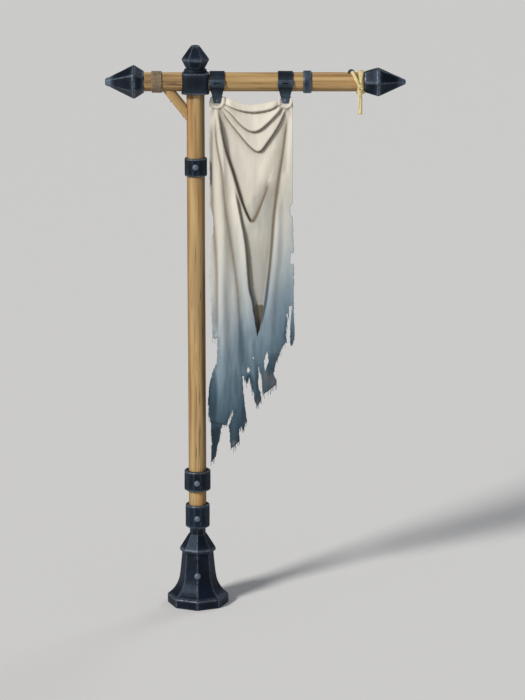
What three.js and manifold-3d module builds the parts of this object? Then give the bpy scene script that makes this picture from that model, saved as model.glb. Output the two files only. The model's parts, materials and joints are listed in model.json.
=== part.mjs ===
// A weathered banner stand: a round wooden pole in a heavy cast-iron pedestal, a wooden
// crossbar through an iron tee collar, and a torn cloth banner hung from two iron straps.
// Millimetres, +Z up. The origin is the middle of the pedestal's flat underside, +X runs
// along the long arm of the crossbar and -Y faces the front.
import * as THREE from 'three';
import { mergeVertices } from 'three/addons/utils/BufferGeometryUtils.js';
import Module from 'manifold-3d';

const wasm = await Module();
wasm.setup();

// Driving dimensions.
const GAP = 0.3; // between pieces that touch
const ROUND = 32; // sides of a round piece
const POLE_R = 40;
const BAR_R = 42;
const BAR_Z = 2345; // height of the crossbar's axis
const BAR_LEFT = -222;
const BAR_RIGHT = 727;
const TENON_R = 24; // pole foot in the pedestal, bar ends in the finials
const FOOT_TENON_Z = 110;
const SHOULDER_Z = 352;
const HEAD_TENON_R = 20; // pole head in the crossbar's mortise
const HEAD_TENON_Z = BAR_Z + 4;
const ROD_R = 7;
const TEE = { half: 58.5, bottom: 2296, top: 2386, neckR: 49, neckTop: 2402, lip: 2 };
const TOP_FINIAL = { base: 2404, baseR: 43, widest: 2442, widestR: 60.5, top: 2503, topR: 19 };
const HANGER = { width: 64.5, tail: 30, thick: 4, left: 93.5, right: 387.5, clampZ: 2275, rivetZ: 2264 };
const STRAP_IN = BAR_R + 1.5;
const STRAP_OUT = STRAP_IN + HANGER.thick;
const TAIL_BOTTOM = 2253;
const TAIL_GAP = 1.6; // half the slot that grips the cloth
const CLOTH = { thick: 9, top: 2250, fold: 16, left: 52, right: 423, bottom: 655 };

const COLOUR = {
  wood: { color: 0xb2946a, roughness: 0.75, metalness: 0 },
  iron: { color: 0x222a38, roughness: 0.45, metalness: 0.7 },
  cloth: { color: 0xd8d6c8, roughness: 0.95, metalness: 0 },
  straw: { color: 0xe1cd82, roughness: 0.9, metalness: 0 },
  hemp: { color: 0xaa967d, roughness: 0.95, metalness: 0 },
};

// Solids. Every builder below hands solids to add(), which names and colours them.

function solid(geometry) {
  const bare = geometry.clone();
  bare.deleteAttribute('normal');
  bare.deleteAttribute('uv');
  const merged = mergeVertices(bare, 1e-3);
  const triVerts = [];
  for (let i = 0; i < merged.index.count; i += 3) {
    const [a, b, c] = [0, 1, 2].map((k) => merged.index.getX(i + k));
    if (a !== b && b !== c && a !== c) triVerts.push(a, b, c);
  }
  return new wasm.Manifold(new wasm.Mesh({
    numProp: 3,
    vertProperties: new Float32Array(merged.attributes.position.array),
    triVerts: new Uint32Array(triVerts),
  }));
}

const group = new THREE.Group();

function add(name, look, body) {
  const mesh = body.getMesh();
  const geometry = new THREE.BufferGeometry();
  geometry.setAttribute('position', new THREE.BufferAttribute(mesh.vertProperties, 3));
  geometry.setIndex(new THREE.BufferAttribute(mesh.triVerts, 1));
  geometry.computeVertexNormals();
  const part = new THREE.Mesh(geometry, new THREE.MeshStandardMaterial(COLOUR[look]));
  part.name = name;
  group.add(part);
}

// A turned or faceted piece about the Z axis from [radius, height] points, upwards.
function turned(profile, sides = ROUND, turn = 0) {
  const points = profile.map(([r, z]) => new THREE.Vector2(r, z));
  const lathe = new THREE.LatheGeometry(points, sides, turn, Math.PI * 2);
  return lathe.rotateX(Math.PI / 2);
}

// The same piece laid along the X axis at the crossbar's height.
function alongBar(geometry) {
  return geometry.rotateY(Math.PI / 2).translate(0, 0, BAR_Z);
}

function rod(radius, low, high, sides = ROUND) {
  return turned([[0, low], [radius, low], [radius, high], [0, high]], sides);
}

function barRod(radius, left, right, sides = ROUND) {
  return alongBar(rod(radius, left, right, sides));
}

// A rod along Y at (x, z), from y = front to y = back.
function crossRod(radius, x, z, front, back, sides = 12) {
  return rod(radius, -back, -front, sides).rotateX(Math.PI / 2).translate(x, 0, z);
}

function ring(inner, outer, low, high, sides = ROUND, outerSides = sides) {
  return solid(rod(outer, low, high, outerSides)).subtract(solid(rod(inner, low - 1, high + 1, sides)));
}

// A dome-headed rivet through a wall whose outer face is at y = -face.
function rivet(x, z, face, headR, shankR, depth) {
  const dome = [[0, 0], [headR, 0]];
  for (let i = 1; i < 4; i += 1) {
    const a = (i * Math.PI) / 8;
    dome.push([headR * Math.cos(a), headR * 0.62 * Math.sin(a)]);
  }
  dome.push([0, headR * 0.62]);
  const head = turned(dome, 16).rotateX(Math.PI / 2).translate(x, -face - GAP, z);
  const shank = crossRod(shankR, x, z, -face - GAP - 1, -face + depth);
  return solid(head).add(solid(shank));
}

function hole(x, z, shankR, front, back) {
  return solid(crossRod(shankR + GAP, x, z, front, back));
}

// Wood: pole, crossbar and brace.

function makePole() {
  const profile = [
    [0, FOOT_TENON_Z], [TENON_R, FOOT_TENON_Z], [TENON_R, SHOULDER_Z], [POLE_R, SHOULDER_Z],
    [POLE_R, TEE.bottom - GAP], [HEAD_TENON_R, TEE.bottom - GAP], [HEAD_TENON_R, HEAD_TENON_Z],
    [0, HEAD_TENON_Z],
  ];
  return solid(turned(profile))
    .subtract(solid(rod(ROD_R + GAP, HEAD_TENON_Z - 45, HEAD_TENON_Z + 1, 12)));
}

function makeCrossbar() {
  const tenon = 62;
  const body = barRod(BAR_R, BAR_LEFT, BAR_RIGHT);
  const tenons = barRod(TENON_R, BAR_LEFT - tenon, BAR_RIGHT + tenon);
  return solid(body)
    .add(solid(tenons))
    .subtract(solid(rod(HEAD_TENON_R + GAP, BAR_Z - BAR_R - 1, HEAD_TENON_Z + GAP)))
    .subtract(solid(rod(ROD_R + GAP, BAR_Z, BAR_Z + BAR_R + 1, 12)));
}

// The brace runs at BRACE.lean from upright, its ends coped to the pole and the bar.
const BRACE = { r: 23, lean: THREE.MathUtils.degToRad(38.5), headX: -111 };

function braceRod(radius, from, to, sides = 16) {
  const rise = rod(radius, from, to, sides);
  return rise.rotateY(-BRACE.lean).translate(BRACE.headX, 0, BAR_Z - BAR_R);
}

function makeBrace() {
  return solid(braceRod(BRACE.r, -190, 34))
    .subtract(solid(rod(POLE_R + GAP, 1900, 2400)))
    .subtract(solid(barRod(BAR_R + GAP, -300, 0)))
    .subtract(solid(rod(400, BAR_Z, BAR_Z + 200, 8)))
    .decompose()
    .reduce((a, b) => (a.volume() > b.volume() ? a : b));
}

// A nail along +Z with its head at z = 0, and the bore that it is driven through.
const NAIL = { headR: 5, head: 3, shankR: 2.5 };

function nail(length) {
  const { headR, head, shankR } = NAIL;
  return turned([[0, 0], [headR, 0], [headR, head], [shankR, head], [shankR, length], [0, length]], 12);
}

function nailBore(length) {
  const [r, step, neck] = [NAIL.headR + GAP, NAIL.head + GAP, NAIL.shankR + GAP];
  return turned([[0, -60], [r, -60], [r, step], [neck, step], [neck, length + GAP], [0, length + GAP]], 12);
}

// One nail goes up through the brace's head into the bar, the other through its foot into the pole.
const NAILS = {
  brace_head_nail: { length: 66, place: (g) => g.translate(-104, 0, 2259) },
  brace_foot_nail: { length: 42, place: (g) => g.rotateY(Math.PI / 2).translate(-55, 0, 2196) },
};

// Ironwork on the pole.

// The pedestal's bolt sits on a spot face across its front edge.
const BOLT = { z: 143, face: 78, headR: 14.5, shankR: 8, depth: 70 };
const boltBore = () => hole(0, BOLT.z, BOLT.shankR, -100, -BOLT.face + BOLT.depth + GAP);

function makePedestal() {
  const profile = [[0, 0], [138, 0], [138, 40], [131, 46]];
  const flare = new THREE.QuadraticBezierCurve(
    new THREE.Vector2(131, 46), new THREE.Vector2(88, 76), new THREE.Vector2(80, 142));
  profile.push(...flare.getPoints(5).slice(1).map((p) => [p.x, p.y]));
  profile.push([71, 233], [71, 238], [81, 244], [81, 256], [40, 322], [36, 324], [36, SHOULDER_Z - GAP]);
  profile.push([0, SHOULDER_Z - GAP]);
  return solid(turned(profile, 8))
    .subtract(solid(rod(TENON_R + GAP, FOOT_TENON_Z - GAP, SHOULDER_Z + 1)))
    .subtract(hole(0, BOLT.z, BOLT.headR + 1, -100, -BOLT.face))
    .subtract(boltBore());
}

function collar(radius, low, high, turn = 0) {
  const bevel = 4;
  const outer = [[0, low], [radius - bevel, low], [radius, low + bevel],
    [radius, high - bevel], [radius - bevel, high], [0, high]];
  return solid(turned(outer, 12, turn)).subtract(solid(rod(POLE_R + GAP, low - 1, high + 1)));
}

const COLLARS = [
  { name: 'pedestal_collar', r: 56, low: 355, high: 459, pin: 402 },
  { name: 'lower_band', r: 60.5, low: 525, high: 615, pin: 566 },
  { name: 'upper_band', r: 51, low: 1936, high: 2016, pin: 1980 },
];

function makeCollars(pole) {
  const shankR = 6;
  const depth = 22;
  let drilled = pole;
  for (const { name, r, low, high, pin } of COLLARS) {
    const face = r * Math.cos(Math.PI / 12);
    const bore = hole(0, pin, shankR, -r - 2, -face + depth + GAP);
    add(name, 'iron', collar(r, low, high, Math.PI / 12).subtract(bore));
    add(`${name}_rivet`, 'iron', rivet(0, pin, face, 13.5, shankR, depth));
    drilled = drilled.subtract(bore);
  }
  return drilled;
}

// An upright block with bulging sides and soft corners, which stands clear of the bar over
// its whole width.
function bulgingBlock(half, low, high) {
  const power = 5;
  const shape = new THREE.Shape();
  const count = 40;
  for (let i = 0; i < count; i += 1) {
    const a = (2 * Math.PI * i) / count;
    const [c, s] = [Math.cos(a), Math.sin(a)];
    const r = half * (Math.abs(c) ** power + Math.abs(s) ** power) ** (-1 / power);
    if (i) shape.lineTo(r * c, r * s);
    else shape.moveTo(r * c, r * s);
  }
  shape.closePath();
  const options = { depth: high - low, bevelEnabled: false };
  return solid(new THREE.ExtrudeGeometry(shape, options).translate(0, 0, low));
}

function makeTee() {
  const { half, bottom, top, neckR, neckTop, lip } = TEE;
  const neck = [[0, top - 1], [neckR, top - 1], [neckR, neckTop - 3], [neckR - 4, neckTop], [0, neckTop]];
  return bulgingBlock(half, bottom, top)
    .add(bulgingBlock(half + lip, bottom, bottom + 6))
    .add(solid(turned(neck, 16, Math.PI / 16)))
    .subtract(solid(barRod(BAR_R + GAP, -100, 100)))
    .subtract(solid(rod(HEAD_TENON_R + GAP, TEE.bottom - 1, BAR_Z)))
    .subtract(solid(rod(ROD_R + GAP, BAR_Z, TEE.neckTop + 1, 12)));
}

function makeTopFinial() {
  const { base, baseR, widest, widestR, top, topR } = TOP_FINIAL;
  const profile = [
    [0, base - 1.6], [40, base - 1.6], [baseR, base + 2], [widestR, widest - 3], [widestR, widest + 3],
    [topR + 2, top - 4], [topR - 2, top], [0, top],
  ];
  return solid(turned(profile, 6, Math.PI / 6)).subtract(solid(rod(ROD_R + GAP, base - 5, widest + GAP, 12)));
}

// Ironwork on the crossbar.

// side is -1 for the left finial and 1 for the right one; rear is its length behind the ridge.
function makeFinial({ side, face, rear, widest, length, tipR, nub, turn }) {
  const ridge = face + rear;
  const tip = ridge + length;
  const profile = [
    [0, face + GAP], [49, face + GAP], [51, face + 4], [widest, ridge - 3], [widest, ridge + 3],
    [tipR + 3, tip - nub], [tipR, tip - nub / 3], [tipR - 4, tip], [0, tip],
  ];
  const blank = turned(profile, 6, turn);
  const socket = rod(TENON_R + GAP, face - 5, face + 63);
  const body = solid(blank).subtract(solid(socket));
  return side > 0
    ? body.rotate([0, 90, 0]).translate([0, 0, BAR_Z])
    : body.rotate([0, -90, 0]).translate([0, 0, BAR_Z]);
}

// A screw from behind that keeps a finial, the stop ring or the brace on the wood.
function screw(x, z, outer, length, headR = 6, shankR = 3.5) {
  const head = crossRod(headR, x, z, outer, outer + 3);
  const shank = crossRod(shankR, x, z, outer - length, outer + 1);
  return solid(head).add(solid(shank));
}

// The strap's side view: an arc over the bar, then two straight legs down to the tails.
function strapSide(r, half) {
  const lean = Math.acos(r / (BAR_Z - HANGER.clampZ));
  const shape = new THREE.Shape();
  shape.moveTo(-half, TAIL_BOTTOM);
  shape.lineTo(-half, HANGER.clampZ);
  shape.absarc(0, BAR_Z, r, 1.5 * Math.PI - lean, -0.5 * Math.PI + lean, true);
  shape.lineTo(half, HANGER.clampZ);
  shape.lineTo(half, TAIL_BOTTOM);
  shape.closePath();
  const options = { depth: HANGER.width, bevelEnabled: false, curveSegments: 20 };
  return solid(new THREE.ExtrudeGeometry(shape, options)
    .rotateX(Math.PI / 2).rotateZ(Math.PI / 2).translate(-HANGER.width / 2, 0, 0));
}

function makeHanger(name, x) {
  const { width, tail } = HANGER;
  const front = new THREE.Shape();
  front.moveTo(-tail / 2 + 3, TAIL_BOTTOM - 5);
  front.lineTo(tail / 2 - 3, TAIL_BOTTOM - 5);
  front.lineTo(tail / 2, TAIL_BOTTOM + 4);
  front.lineTo(width / 2, BAR_Z - 16);
  front.lineTo(width / 2, BAR_Z + 60);
  front.lineTo(-width / 2, BAR_Z + 60);
  front.lineTo(-width / 2, BAR_Z - 16);
  front.lineTo(-tail / 2, TAIL_BOTTOM + 4);
  const options = { depth: 140, bevelEnabled: false };
  const taper = solid(new THREE.ExtrudeGeometry(front, options).rotateX(Math.PI / 2).translate(0, 70, 0));
  const rivetR = 4;
  const loop = strapSide(STRAP_OUT, TAIL_GAP + HANGER.thick)
    .subtract(strapSide(STRAP_IN, TAIL_GAP).scale([1.1, 1, 1]))
    .subtract(solid(new THREE.BoxGeometry(80, 2 * TAIL_GAP, 20).translate(0, 0, TAIL_BOTTOM)));
  const strap = loop.intersect(taper).subtract(hole(0, HANGER.rivetZ, rivetR, -60, 60));
  add(`${name}_strap`, 'iron', strap.translate([x, 0, 0]));

  const half = TAIL_GAP + HANGER.thick;
  const pin = rivet(x, HANGER.rivetZ, half, 7, rivetR, 2 * half + GAP)
    .add(rivet(x, HANGER.rivetZ, half, 7, rivetR, 2 * half).mirror([0, 1, 0]));
  add(`${name}_rivet`, 'iron', pin);

  const arc = ring(STRAP_OUT + GAP, STRAP_OUT + 4.5, -width / 2 - 1, width / 2 + 1)
    .rotate([0, 90, 0]).translate([x, 0, BAR_Z]);
  for (const [where, y] of [['front', -60], ['back', 60]]) {
    const window = new THREE.BoxGeometry(width + 10, 70, 33).translate(x, y, BAR_Z - 1);
    const slot = new THREE.BoxGeometry(22, 70, 6).translate(x, y, BAR_Z - 1);
    add(`${name}_${where}_keeper`, 'iron', arc.intersect(solid(window)).subtract(solid(slot)));
  }
}

// Cords.

// A winding of so many turns laid side by side round the bar, as one grooved ring.
function winding(left, right, turns, inner, cordR) {
  const pitch = (right - left) / turns;
  const profile = [[inner, left], [inner + cordR, left]];
  for (let i = 0; i < turns; i += 1) {
    profile.push([inner + 2 * cordR, left + (i + 0.5) * pitch]);
    profile.push([inner + cordR, left + (i + 1) * pitch]);
  }
  profile.push([inner, right], [inner, left]);
  return solid(alongBar(turned(profile)));
}

const STAPLE_X = 669;
const STAPLE = { half: 14, wire: 6, deep: 22, rise: 4 };
const TAIL_X = 708;
const TAIL_R = 9;
const TAIL_ROUTE = [[TAIL_X, -60, 2318], [TAIL_X, -61, 2290], [TAIL_X + 1, -60, 2255], [TAIL_X, -60, 2214]];

function cordTail() {
  const curve = new THREE.CatmullRomCurve3(TAIL_ROUTE.map((p) => new THREE.Vector3(...p)));
  const section = new THREE.Shape();
  section.absarc(0, 0, TAIL_R, 0, Math.PI * 2);
  const options = { steps: 8, curveSegments: 5, bevelEnabled: false, extrudePath: curve };
  return solid(new THREE.ExtrudeGeometry(section, options));
}

function makeTieWrap() {
  const knot = new THREE.SphereGeometry(15, 12, 8).scale(1, 0.8, 0.9).translate(TAIL_X, -57, 2332);
  return winding(683, 719, 2, BAR_R + GAP, 7)
    .add(solid(knot))
    .subtract(solid(barRod(BAR_R + GAP, 600, 800)));
}

// A small staple that keeps the tie cord from creeping along the bar.
function makeStaple() {
  const { half, wire, deep, rise } = STAPLE;
  const drop = -14;
  const legs = new THREE.Shape();
  const corners = [
    [-half, drop], [-half + wire, drop], [-half + wire, rise], [half - wire, rise], [half - wire, drop],
    [half, drop], [half, rise + 1], [half - 3, rise + wire], [-half + 3, rise + wire], [-half, rise + 1],
  ];
  corners.forEach(([x, z], i) => (i ? legs.lineTo(x, z) : legs.moveTo(x, z)));
  const options = { depth: deep, bevelEnabled: false };
  return new THREE.ExtrudeGeometry(legs, options)
    .rotateX(Math.PI / 2)
    .translate(STAPLE_X, deep / 2, BAR_Z + BAR_R);
}

function stapleBores() {
  const { half, wire, deep } = STAPLE;
  const bore = new THREE.BoxGeometry(wire + 2 * GAP, deep + 2 * GAP, 40);
  const side = (x) => solid(bore.clone().translate(x, 0, BAR_Z + BAR_R + 5));
  return side(STAPLE_X - half + wire / 2).add(side(STAPLE_X + half - wire / 2));
}

// Cloth: the banner's torn outline cut from a sheet with upright folds.

const TORN = [
  [0, 0.01], [0.01, 0.28], [0.055, 0.285], [0.055, 0.365], [0.01, 0.37], [0.03, 0.56], [0.1, 0.67],
  [0.09, 0.7], [0.02, 0.72], [0.0, 0.8], [0.03, 0.9], [0.03, 1], [0.1, 0.95], [0.19, 0.83],
  [0.21, 0.78], [0.23, 0.96], [0.3, 0.9], [0.36, 0.86], [0.38, 0.78], [0.44, 0.84], [0.5, 0.76],
  [0.52, 0.83], [0.6, 0.84], [0.63, 0.77], [0.75, 0.78], [0.79, 0.7], [0.86, 0.67], [0.9, 0.68],
  [0.97, 0.62], [1, 0.6], [1, 0.31], [0.97, 0.305], [0.97, 0.28], [1, 0.27], [1, 0.01],
];

function makeCloth() {
  const width = CLOTH.right - CLOTH.left;
  const height = CLOTH.top - CLOTH.bottom;
  const shape = new THREE.Shape();
  TORN.forEach(([u, v], i) => {
    const [x, z] = [CLOTH.left + 6 * (1 - v) * (u < 0.5 ? 1 : 0) + u * width, CLOTH.top - v * height];
    if (i) shape.lineTo(x, z);
    else shape.moveTo(x, z);
  });
  shape.quadraticCurveTo(CLOTH.left + width / 2, CLOTH.top - 22, CLOTH.left + 6, CLOTH.top - 16);
  const options = { depth: 140, bevelEnabled: false, curveSegments: 8 };
  const cut = solid(new THREE.ExtrudeGeometry(shape, options).rotateX(Math.PI / 2).translate(0, 70, 0));

  const sheet = new THREE.BoxGeometry(width + 20, CLOTH.thick, height + 20, 28, 1, 12);
  const at = sheet.attributes.position;
  for (let i = 0; i < at.count; i += 1) {
    const wave = (2 * Math.PI * 3 * at.getX(i)) / width;
    at.setY(i, at.getY(i) + CLOTH.fold * Math.sin(wave));
  }
  sheet.translate((CLOTH.left + CLOTH.right) / 2, 0, (CLOTH.top + CLOTH.bottom) / 2);
  return solid(sheet).intersect(cut);
}

// Assembly.

const left = {
  side: -1, face: -BAR_LEFT, rear: 43, widest: 74, length: 124, tipR: 18, nub: 17, turn: Math.PI / 6,
};
const right = { side: 1, face: BAR_RIGHT, rear: 60, widest: 68, length: 119, tipR: 12, nub: 9, turn: 0 };
const SCREW = { length: 40, shankR: 3.5 };
const drill = (x, z) => solid(crossRod(SCREW.shankR + GAP, x, z, 0, 100));

let pole = makeCollars(makePole()).subtract(boltBore());
let crossbar = makeCrossbar();
let brace = makeBrace();

for (const [name, { length, place }] of Object.entries(NAILS)) {
  const bore = solid(place(nailBore(length)));
  add(name, 'iron', solid(place(nail(length))));
  [pole, crossbar, brace] = [pole, crossbar, brace].map((wood) => wood.subtract(bore));
}

const finials = { left_finial: [left, BAR_LEFT - 26], right_finial: [right, BAR_RIGHT + 30] };
for (const [name, [shape, x]] of Object.entries(finials)) {
  const bore = drill(x, BAR_Z);
  add(name, 'iron', makeFinial(shape).subtract(bore));
  crossbar = crossbar.subtract(bore);
  add(`${name}_screw`, 'iron', screw(x, BAR_Z, 66, 60));
}

const stop = { x: 482, half: 18, r: 49 };
const stopRing = solid(barRod(stop.r, stop.x - stop.half, stop.x + stop.half, 24))
  .subtract(solid(barRod(BAR_R + GAP, 400, 600)));
add('stop_ring', 'iron', stopRing.subtract(drill(stop.x, BAR_Z)));
crossbar = crossbar.subtract(drill(stop.x, BAR_Z));
add('stop_ring_screw', 'iron', screw(stop.x, BAR_Z, stop.r + GAP, 38));

add('pedestal', 'iron', makePedestal());
add('pedestal_bolt', 'iron', rivet(0, BOLT.z, BOLT.face, BOLT.headR, BOLT.shankR, BOLT.depth));
add('pole', 'wood', pole);
add('tee_collar', 'iron', makeTee());
add('finial_tie_rod', 'iron', solid(rod(ROD_R, HEAD_TENON_Z - 44, TOP_FINIAL.widest, 12)));
add('top_finial', 'iron', makeTopFinial());
add('crossbar', 'wood', crossbar.subtract(stapleBores()));
add('brace', 'wood', brace);
add('brace_lashing', 'hemp', winding(-191, -142, 9, BAR_R + GAP, 2.4));
makeHanger('hanger_left', HANGER.left);
makeHanger('hanger_right', HANGER.right);
add('tie_cord_wrap', 'straw', makeTieWrap());
add('tie_cord_tail', 'straw', cordTail());
add('tie_staple', 'iron', solid(makeStaple()));
add('banner_cloth', 'cloth', makeCloth());

export default group;
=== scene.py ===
"""Finishes the banner stand: forged iron, turned wood, wound cord and a torn hanging cloth."""

import json
import math

import bmesh
import bpy
import numpy as np
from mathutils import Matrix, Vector, noise


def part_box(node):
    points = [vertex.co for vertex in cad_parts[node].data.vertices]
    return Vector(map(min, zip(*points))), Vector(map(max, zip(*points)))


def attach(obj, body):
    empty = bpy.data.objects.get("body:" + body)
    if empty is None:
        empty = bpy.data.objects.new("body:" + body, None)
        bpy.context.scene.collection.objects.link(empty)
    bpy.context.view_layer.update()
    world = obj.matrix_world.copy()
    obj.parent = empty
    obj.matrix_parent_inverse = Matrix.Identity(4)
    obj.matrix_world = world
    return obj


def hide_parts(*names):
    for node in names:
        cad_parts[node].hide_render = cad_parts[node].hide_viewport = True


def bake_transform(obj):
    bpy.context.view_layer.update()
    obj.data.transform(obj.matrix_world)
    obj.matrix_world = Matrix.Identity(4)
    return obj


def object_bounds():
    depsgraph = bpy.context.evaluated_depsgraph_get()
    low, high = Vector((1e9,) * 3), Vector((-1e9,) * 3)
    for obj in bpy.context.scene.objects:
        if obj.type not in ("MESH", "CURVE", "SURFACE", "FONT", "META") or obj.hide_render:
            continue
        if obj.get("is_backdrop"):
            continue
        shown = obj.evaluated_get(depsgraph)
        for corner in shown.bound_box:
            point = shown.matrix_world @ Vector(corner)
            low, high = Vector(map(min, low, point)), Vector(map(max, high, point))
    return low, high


bl_info = {
    "name": "Weathered Banner Stand",
    "version": (1, 0, 0),
    "blender": (4, 5, 0),
    "location": "View3D > Sidebar > Banner Stand",
    "description": "Builds the finish of a banner stand around its frame",
    "category": "Object",
}

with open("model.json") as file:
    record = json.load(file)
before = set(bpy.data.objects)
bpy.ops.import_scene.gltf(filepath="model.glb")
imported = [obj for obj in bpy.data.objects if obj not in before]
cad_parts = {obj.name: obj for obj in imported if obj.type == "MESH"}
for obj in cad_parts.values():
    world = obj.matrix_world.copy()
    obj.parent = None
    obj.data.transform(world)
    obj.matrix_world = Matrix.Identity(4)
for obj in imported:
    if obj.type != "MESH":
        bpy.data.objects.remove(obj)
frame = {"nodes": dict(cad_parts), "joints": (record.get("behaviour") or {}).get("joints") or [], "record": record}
CAD_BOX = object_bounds()
MM = 0.001
HINGES = {joint["name"]: Vector(joint["pos_m"]) for joint in frame["joints"]}
BAR_Z = HINGES["hanger_swing"].z
POLE_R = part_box("pole")[1].x
BAR_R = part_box("crossbar")[1].y
GAP = 0.0003
BRACE_LEAN = math.radians(38.5)


# Finishes.


class Value:
    """A shader socket that Python's arithmetic works on."""

    def __init__(self, finish, socket):
        self.finish = finish
        self.socket = socket

    def _maths(self, operation, first, second):
        return self.finish.node("ShaderNodeMath", {"operation": operation}, {0: first, 1: second})

    def __add__(self, other):
        return self._maths("ADD", self, other)

    def __radd__(self, other):
        return self._maths("ADD", other, self)

    def __sub__(self, other):
        return self._maths("SUBTRACT", self, other)

    def __rsub__(self, other):
        return self._maths("SUBTRACT", other, self)

    def __mul__(self, other):
        return self._maths("MULTIPLY", self, other)

    def __rmul__(self, other):
        return self._maths("MULTIPLY", other, self)

    def __pow__(self, other):
        return self._maths("POWER", self, other)


class Finish:
    """A material whose nodes are written as expressions."""

    def __init__(self, name):
        self.material = bpy.data.materials.new(name)
        self.material.use_nodes = True
        self.tree = self.material.node_tree
        self.shader = self.tree.nodes["Principled BSDF"]
        self.place = self.node("ShaderNodeTexCoord", output="Object")

    def feed(self, socket, value):
        if isinstance(value, Value):
            self.tree.links.new(value.socket, socket)
        else:
            socket.default_value = value

    def node(self, kind, settings=None, inputs=None, output=0):
        made = self.tree.nodes.new(kind)
        for key, value in (settings or {}).items():
            if key == "stops":
                self._stops(made.color_ramp, value)
            else:
                setattr(made, key, value)
        for key, value in (inputs or {}).items():
            self.feed(made.inputs[key], value)
        return Value(self, made.outputs[output])

    def _stops(self, ramp, stops):
        while len(ramp.elements) < len(stops):
            ramp.elements.new(0.5)
        for element, (position, colour) in zip(ramp.elements, stops):
            element.position = position
            element.color = colour if len(colour) == 4 else (*colour, 1)

    def ramp(self, value, stops):
        return self.node("ShaderNodeValToRGB", {"stops": stops}, {"Fac": value})

    def step(self, value, low, high):
        """0 below low and 1 above high, with a smooth rise between."""
        settings = {"interpolation_type": "SMOOTHSTEP"}
        inputs = {"Value": value, "From Min": low, "From Max": high}
        return self.node("ShaderNodeMapRange", settings, inputs)

    def stretched(self, scale, turn=(0, 0, 0)):
        turned = self.node("ShaderNodeMapping", {}, {"Vector": self.place, "Rotation": turn})
        return self.node("ShaderNodeMapping", {}, {"Vector": turned, "Scale": scale})

    def noise(self, scale, detail=3, roughness=0.55, vector=None):
        inputs = {"Vector": vector or self.place, "Scale": scale, "Detail": detail, "Roughness": roughness}
        return self.node("ShaderNodeTexNoise", {}, inputs, output=0)

    def mix(self, factor, first, second, blend="MIX"):
        def four(colour):
            return colour if isinstance(colour, Value) or len(colour) == 4 else (*colour, 1)

        settings = {"data_type": "RGBA", "blend_type": blend}
        return self.node("ShaderNodeMix", settings, {0: factor, 6: four(first), 7: four(second)}, output=2)

    def attribute(self, name):
        return self.node("ShaderNodeAttribute", {"attribute_name": name}, output="Fac")

    def bump(self, height, distance, strength=1.0):
        inputs = {"Height": height, "Distance": distance, "Strength": strength}
        self.feed(self.shader.inputs["Normal"], self.node("ShaderNodeBump", {}, inputs))

    def surface(self, **values):
        for name, value in values.items():
            self.feed(self.shader.inputs[name.replace("_", " ")], value)
        return self.material


def iron_finish(name, settings, light=0.0):
    """Blackened iron: blue-black skin with darker blotches, softly rubbed edges and a little bare metal."""
    f = Finish(name)
    clouds = f.noise(13, 5, 0.6)
    pits = f.noise(170, 3, 0.6)
    hammer = f.noise(52, 2, 0.5)
    strokes = f.noise(1, 3, 0.6, f.stretched((60, 60, 16)))
    skin = f.mix(f.step(clouds, 0.36, 0.66), settings.dark[:], settings.blue[:])
    skin = f.mix(f.step(strokes, 0.52, 0.8) * 0.09, skin, settings.rubbed[:])
    skin = f.mix(f.step(pits, 0.56, 0.72) * 0.5, skin, (0.004, 0.004, 0.005))
    skin = f.mix(f.attribute("rub") * (0.05 + 0.15 * f.step(clouds, 0.3, 0.62)), skin, settings.rubbed[:])
    ragged = f.step(f.noise(90, 4, 0.7), 0.38, 0.6)
    worn = f.attribute("wear") * (0.2 + 0.8 * ragged)
    skin = f.mix(worn * 0.9, skin, settings.worn[:])
    if light:
        skin = f.mix(light, skin, settings.head[:])
    f.bump(hammer * 0.6 + pits * 0.4, 0.0014, 0.7)
    return f.surface(
        Base_Color=skin,
        Roughness=0.44 - 0.1 * worn + 0.26 * pits - 0.1 * clouds,
        Metallic=0.25 + 0.4 * worn,
        Specular_IOR_Level=0.35,
        Specular_Tint=(0.62, 0.78, 1.0, 1.0),
    )


def wood_finish(name, settings, turn):
    """Oiled timber with its grain along the object's length; turn lays that length along Z."""
    f = Finish(name)
    fine = f.noise(1, 5, 0.65, f.stretched((170, 170, 5), turn))
    streak = f.noise(1, 3, 0.5, f.stretched((34, 34, 1.3), turn))
    wide = f.noise(1, 2, 0.5, f.stretched((15, 15, 0.9), turn))
    colour = f.ramp(streak, [
        (0.3, settings.shade[:]), (0.45, settings.tan[:]), (0.58, settings.pale[:]), (0.72, settings.tan[:]),
    ])
    colour = f.mix(f.step(wide, 0.52, 0.68) * 0.75, colour, settings.golden[:])
    colour = f.mix(f.step(wide, 0.45, 0.3) * 0.55, colour, settings.grey[:])
    lines = f.step(fine, 0.56, 0.7)
    colour = f.mix(lines * 0.65, colour, settings.line[:])
    # Painted shade: darkens the wood down the pole's right and left flanks and along the crossbar's underside.
    colour = f.mix(f.attribute("soot") * (0.6 + 0.6 * wide), colour, settings.soot[:], "MULTIPLY")
    # Painted shade: colours the drying cracks near black inside.
    colour = f.mix(f.attribute("crack"), colour, (0.07, 0.04, 0.02))
    f.bump(streak * 0.5 - lines * 0.6, 0.0012, 0.8)
    return f.surface(Base_Color=colour, Roughness=0.62 + 0.2 * fine)


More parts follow.
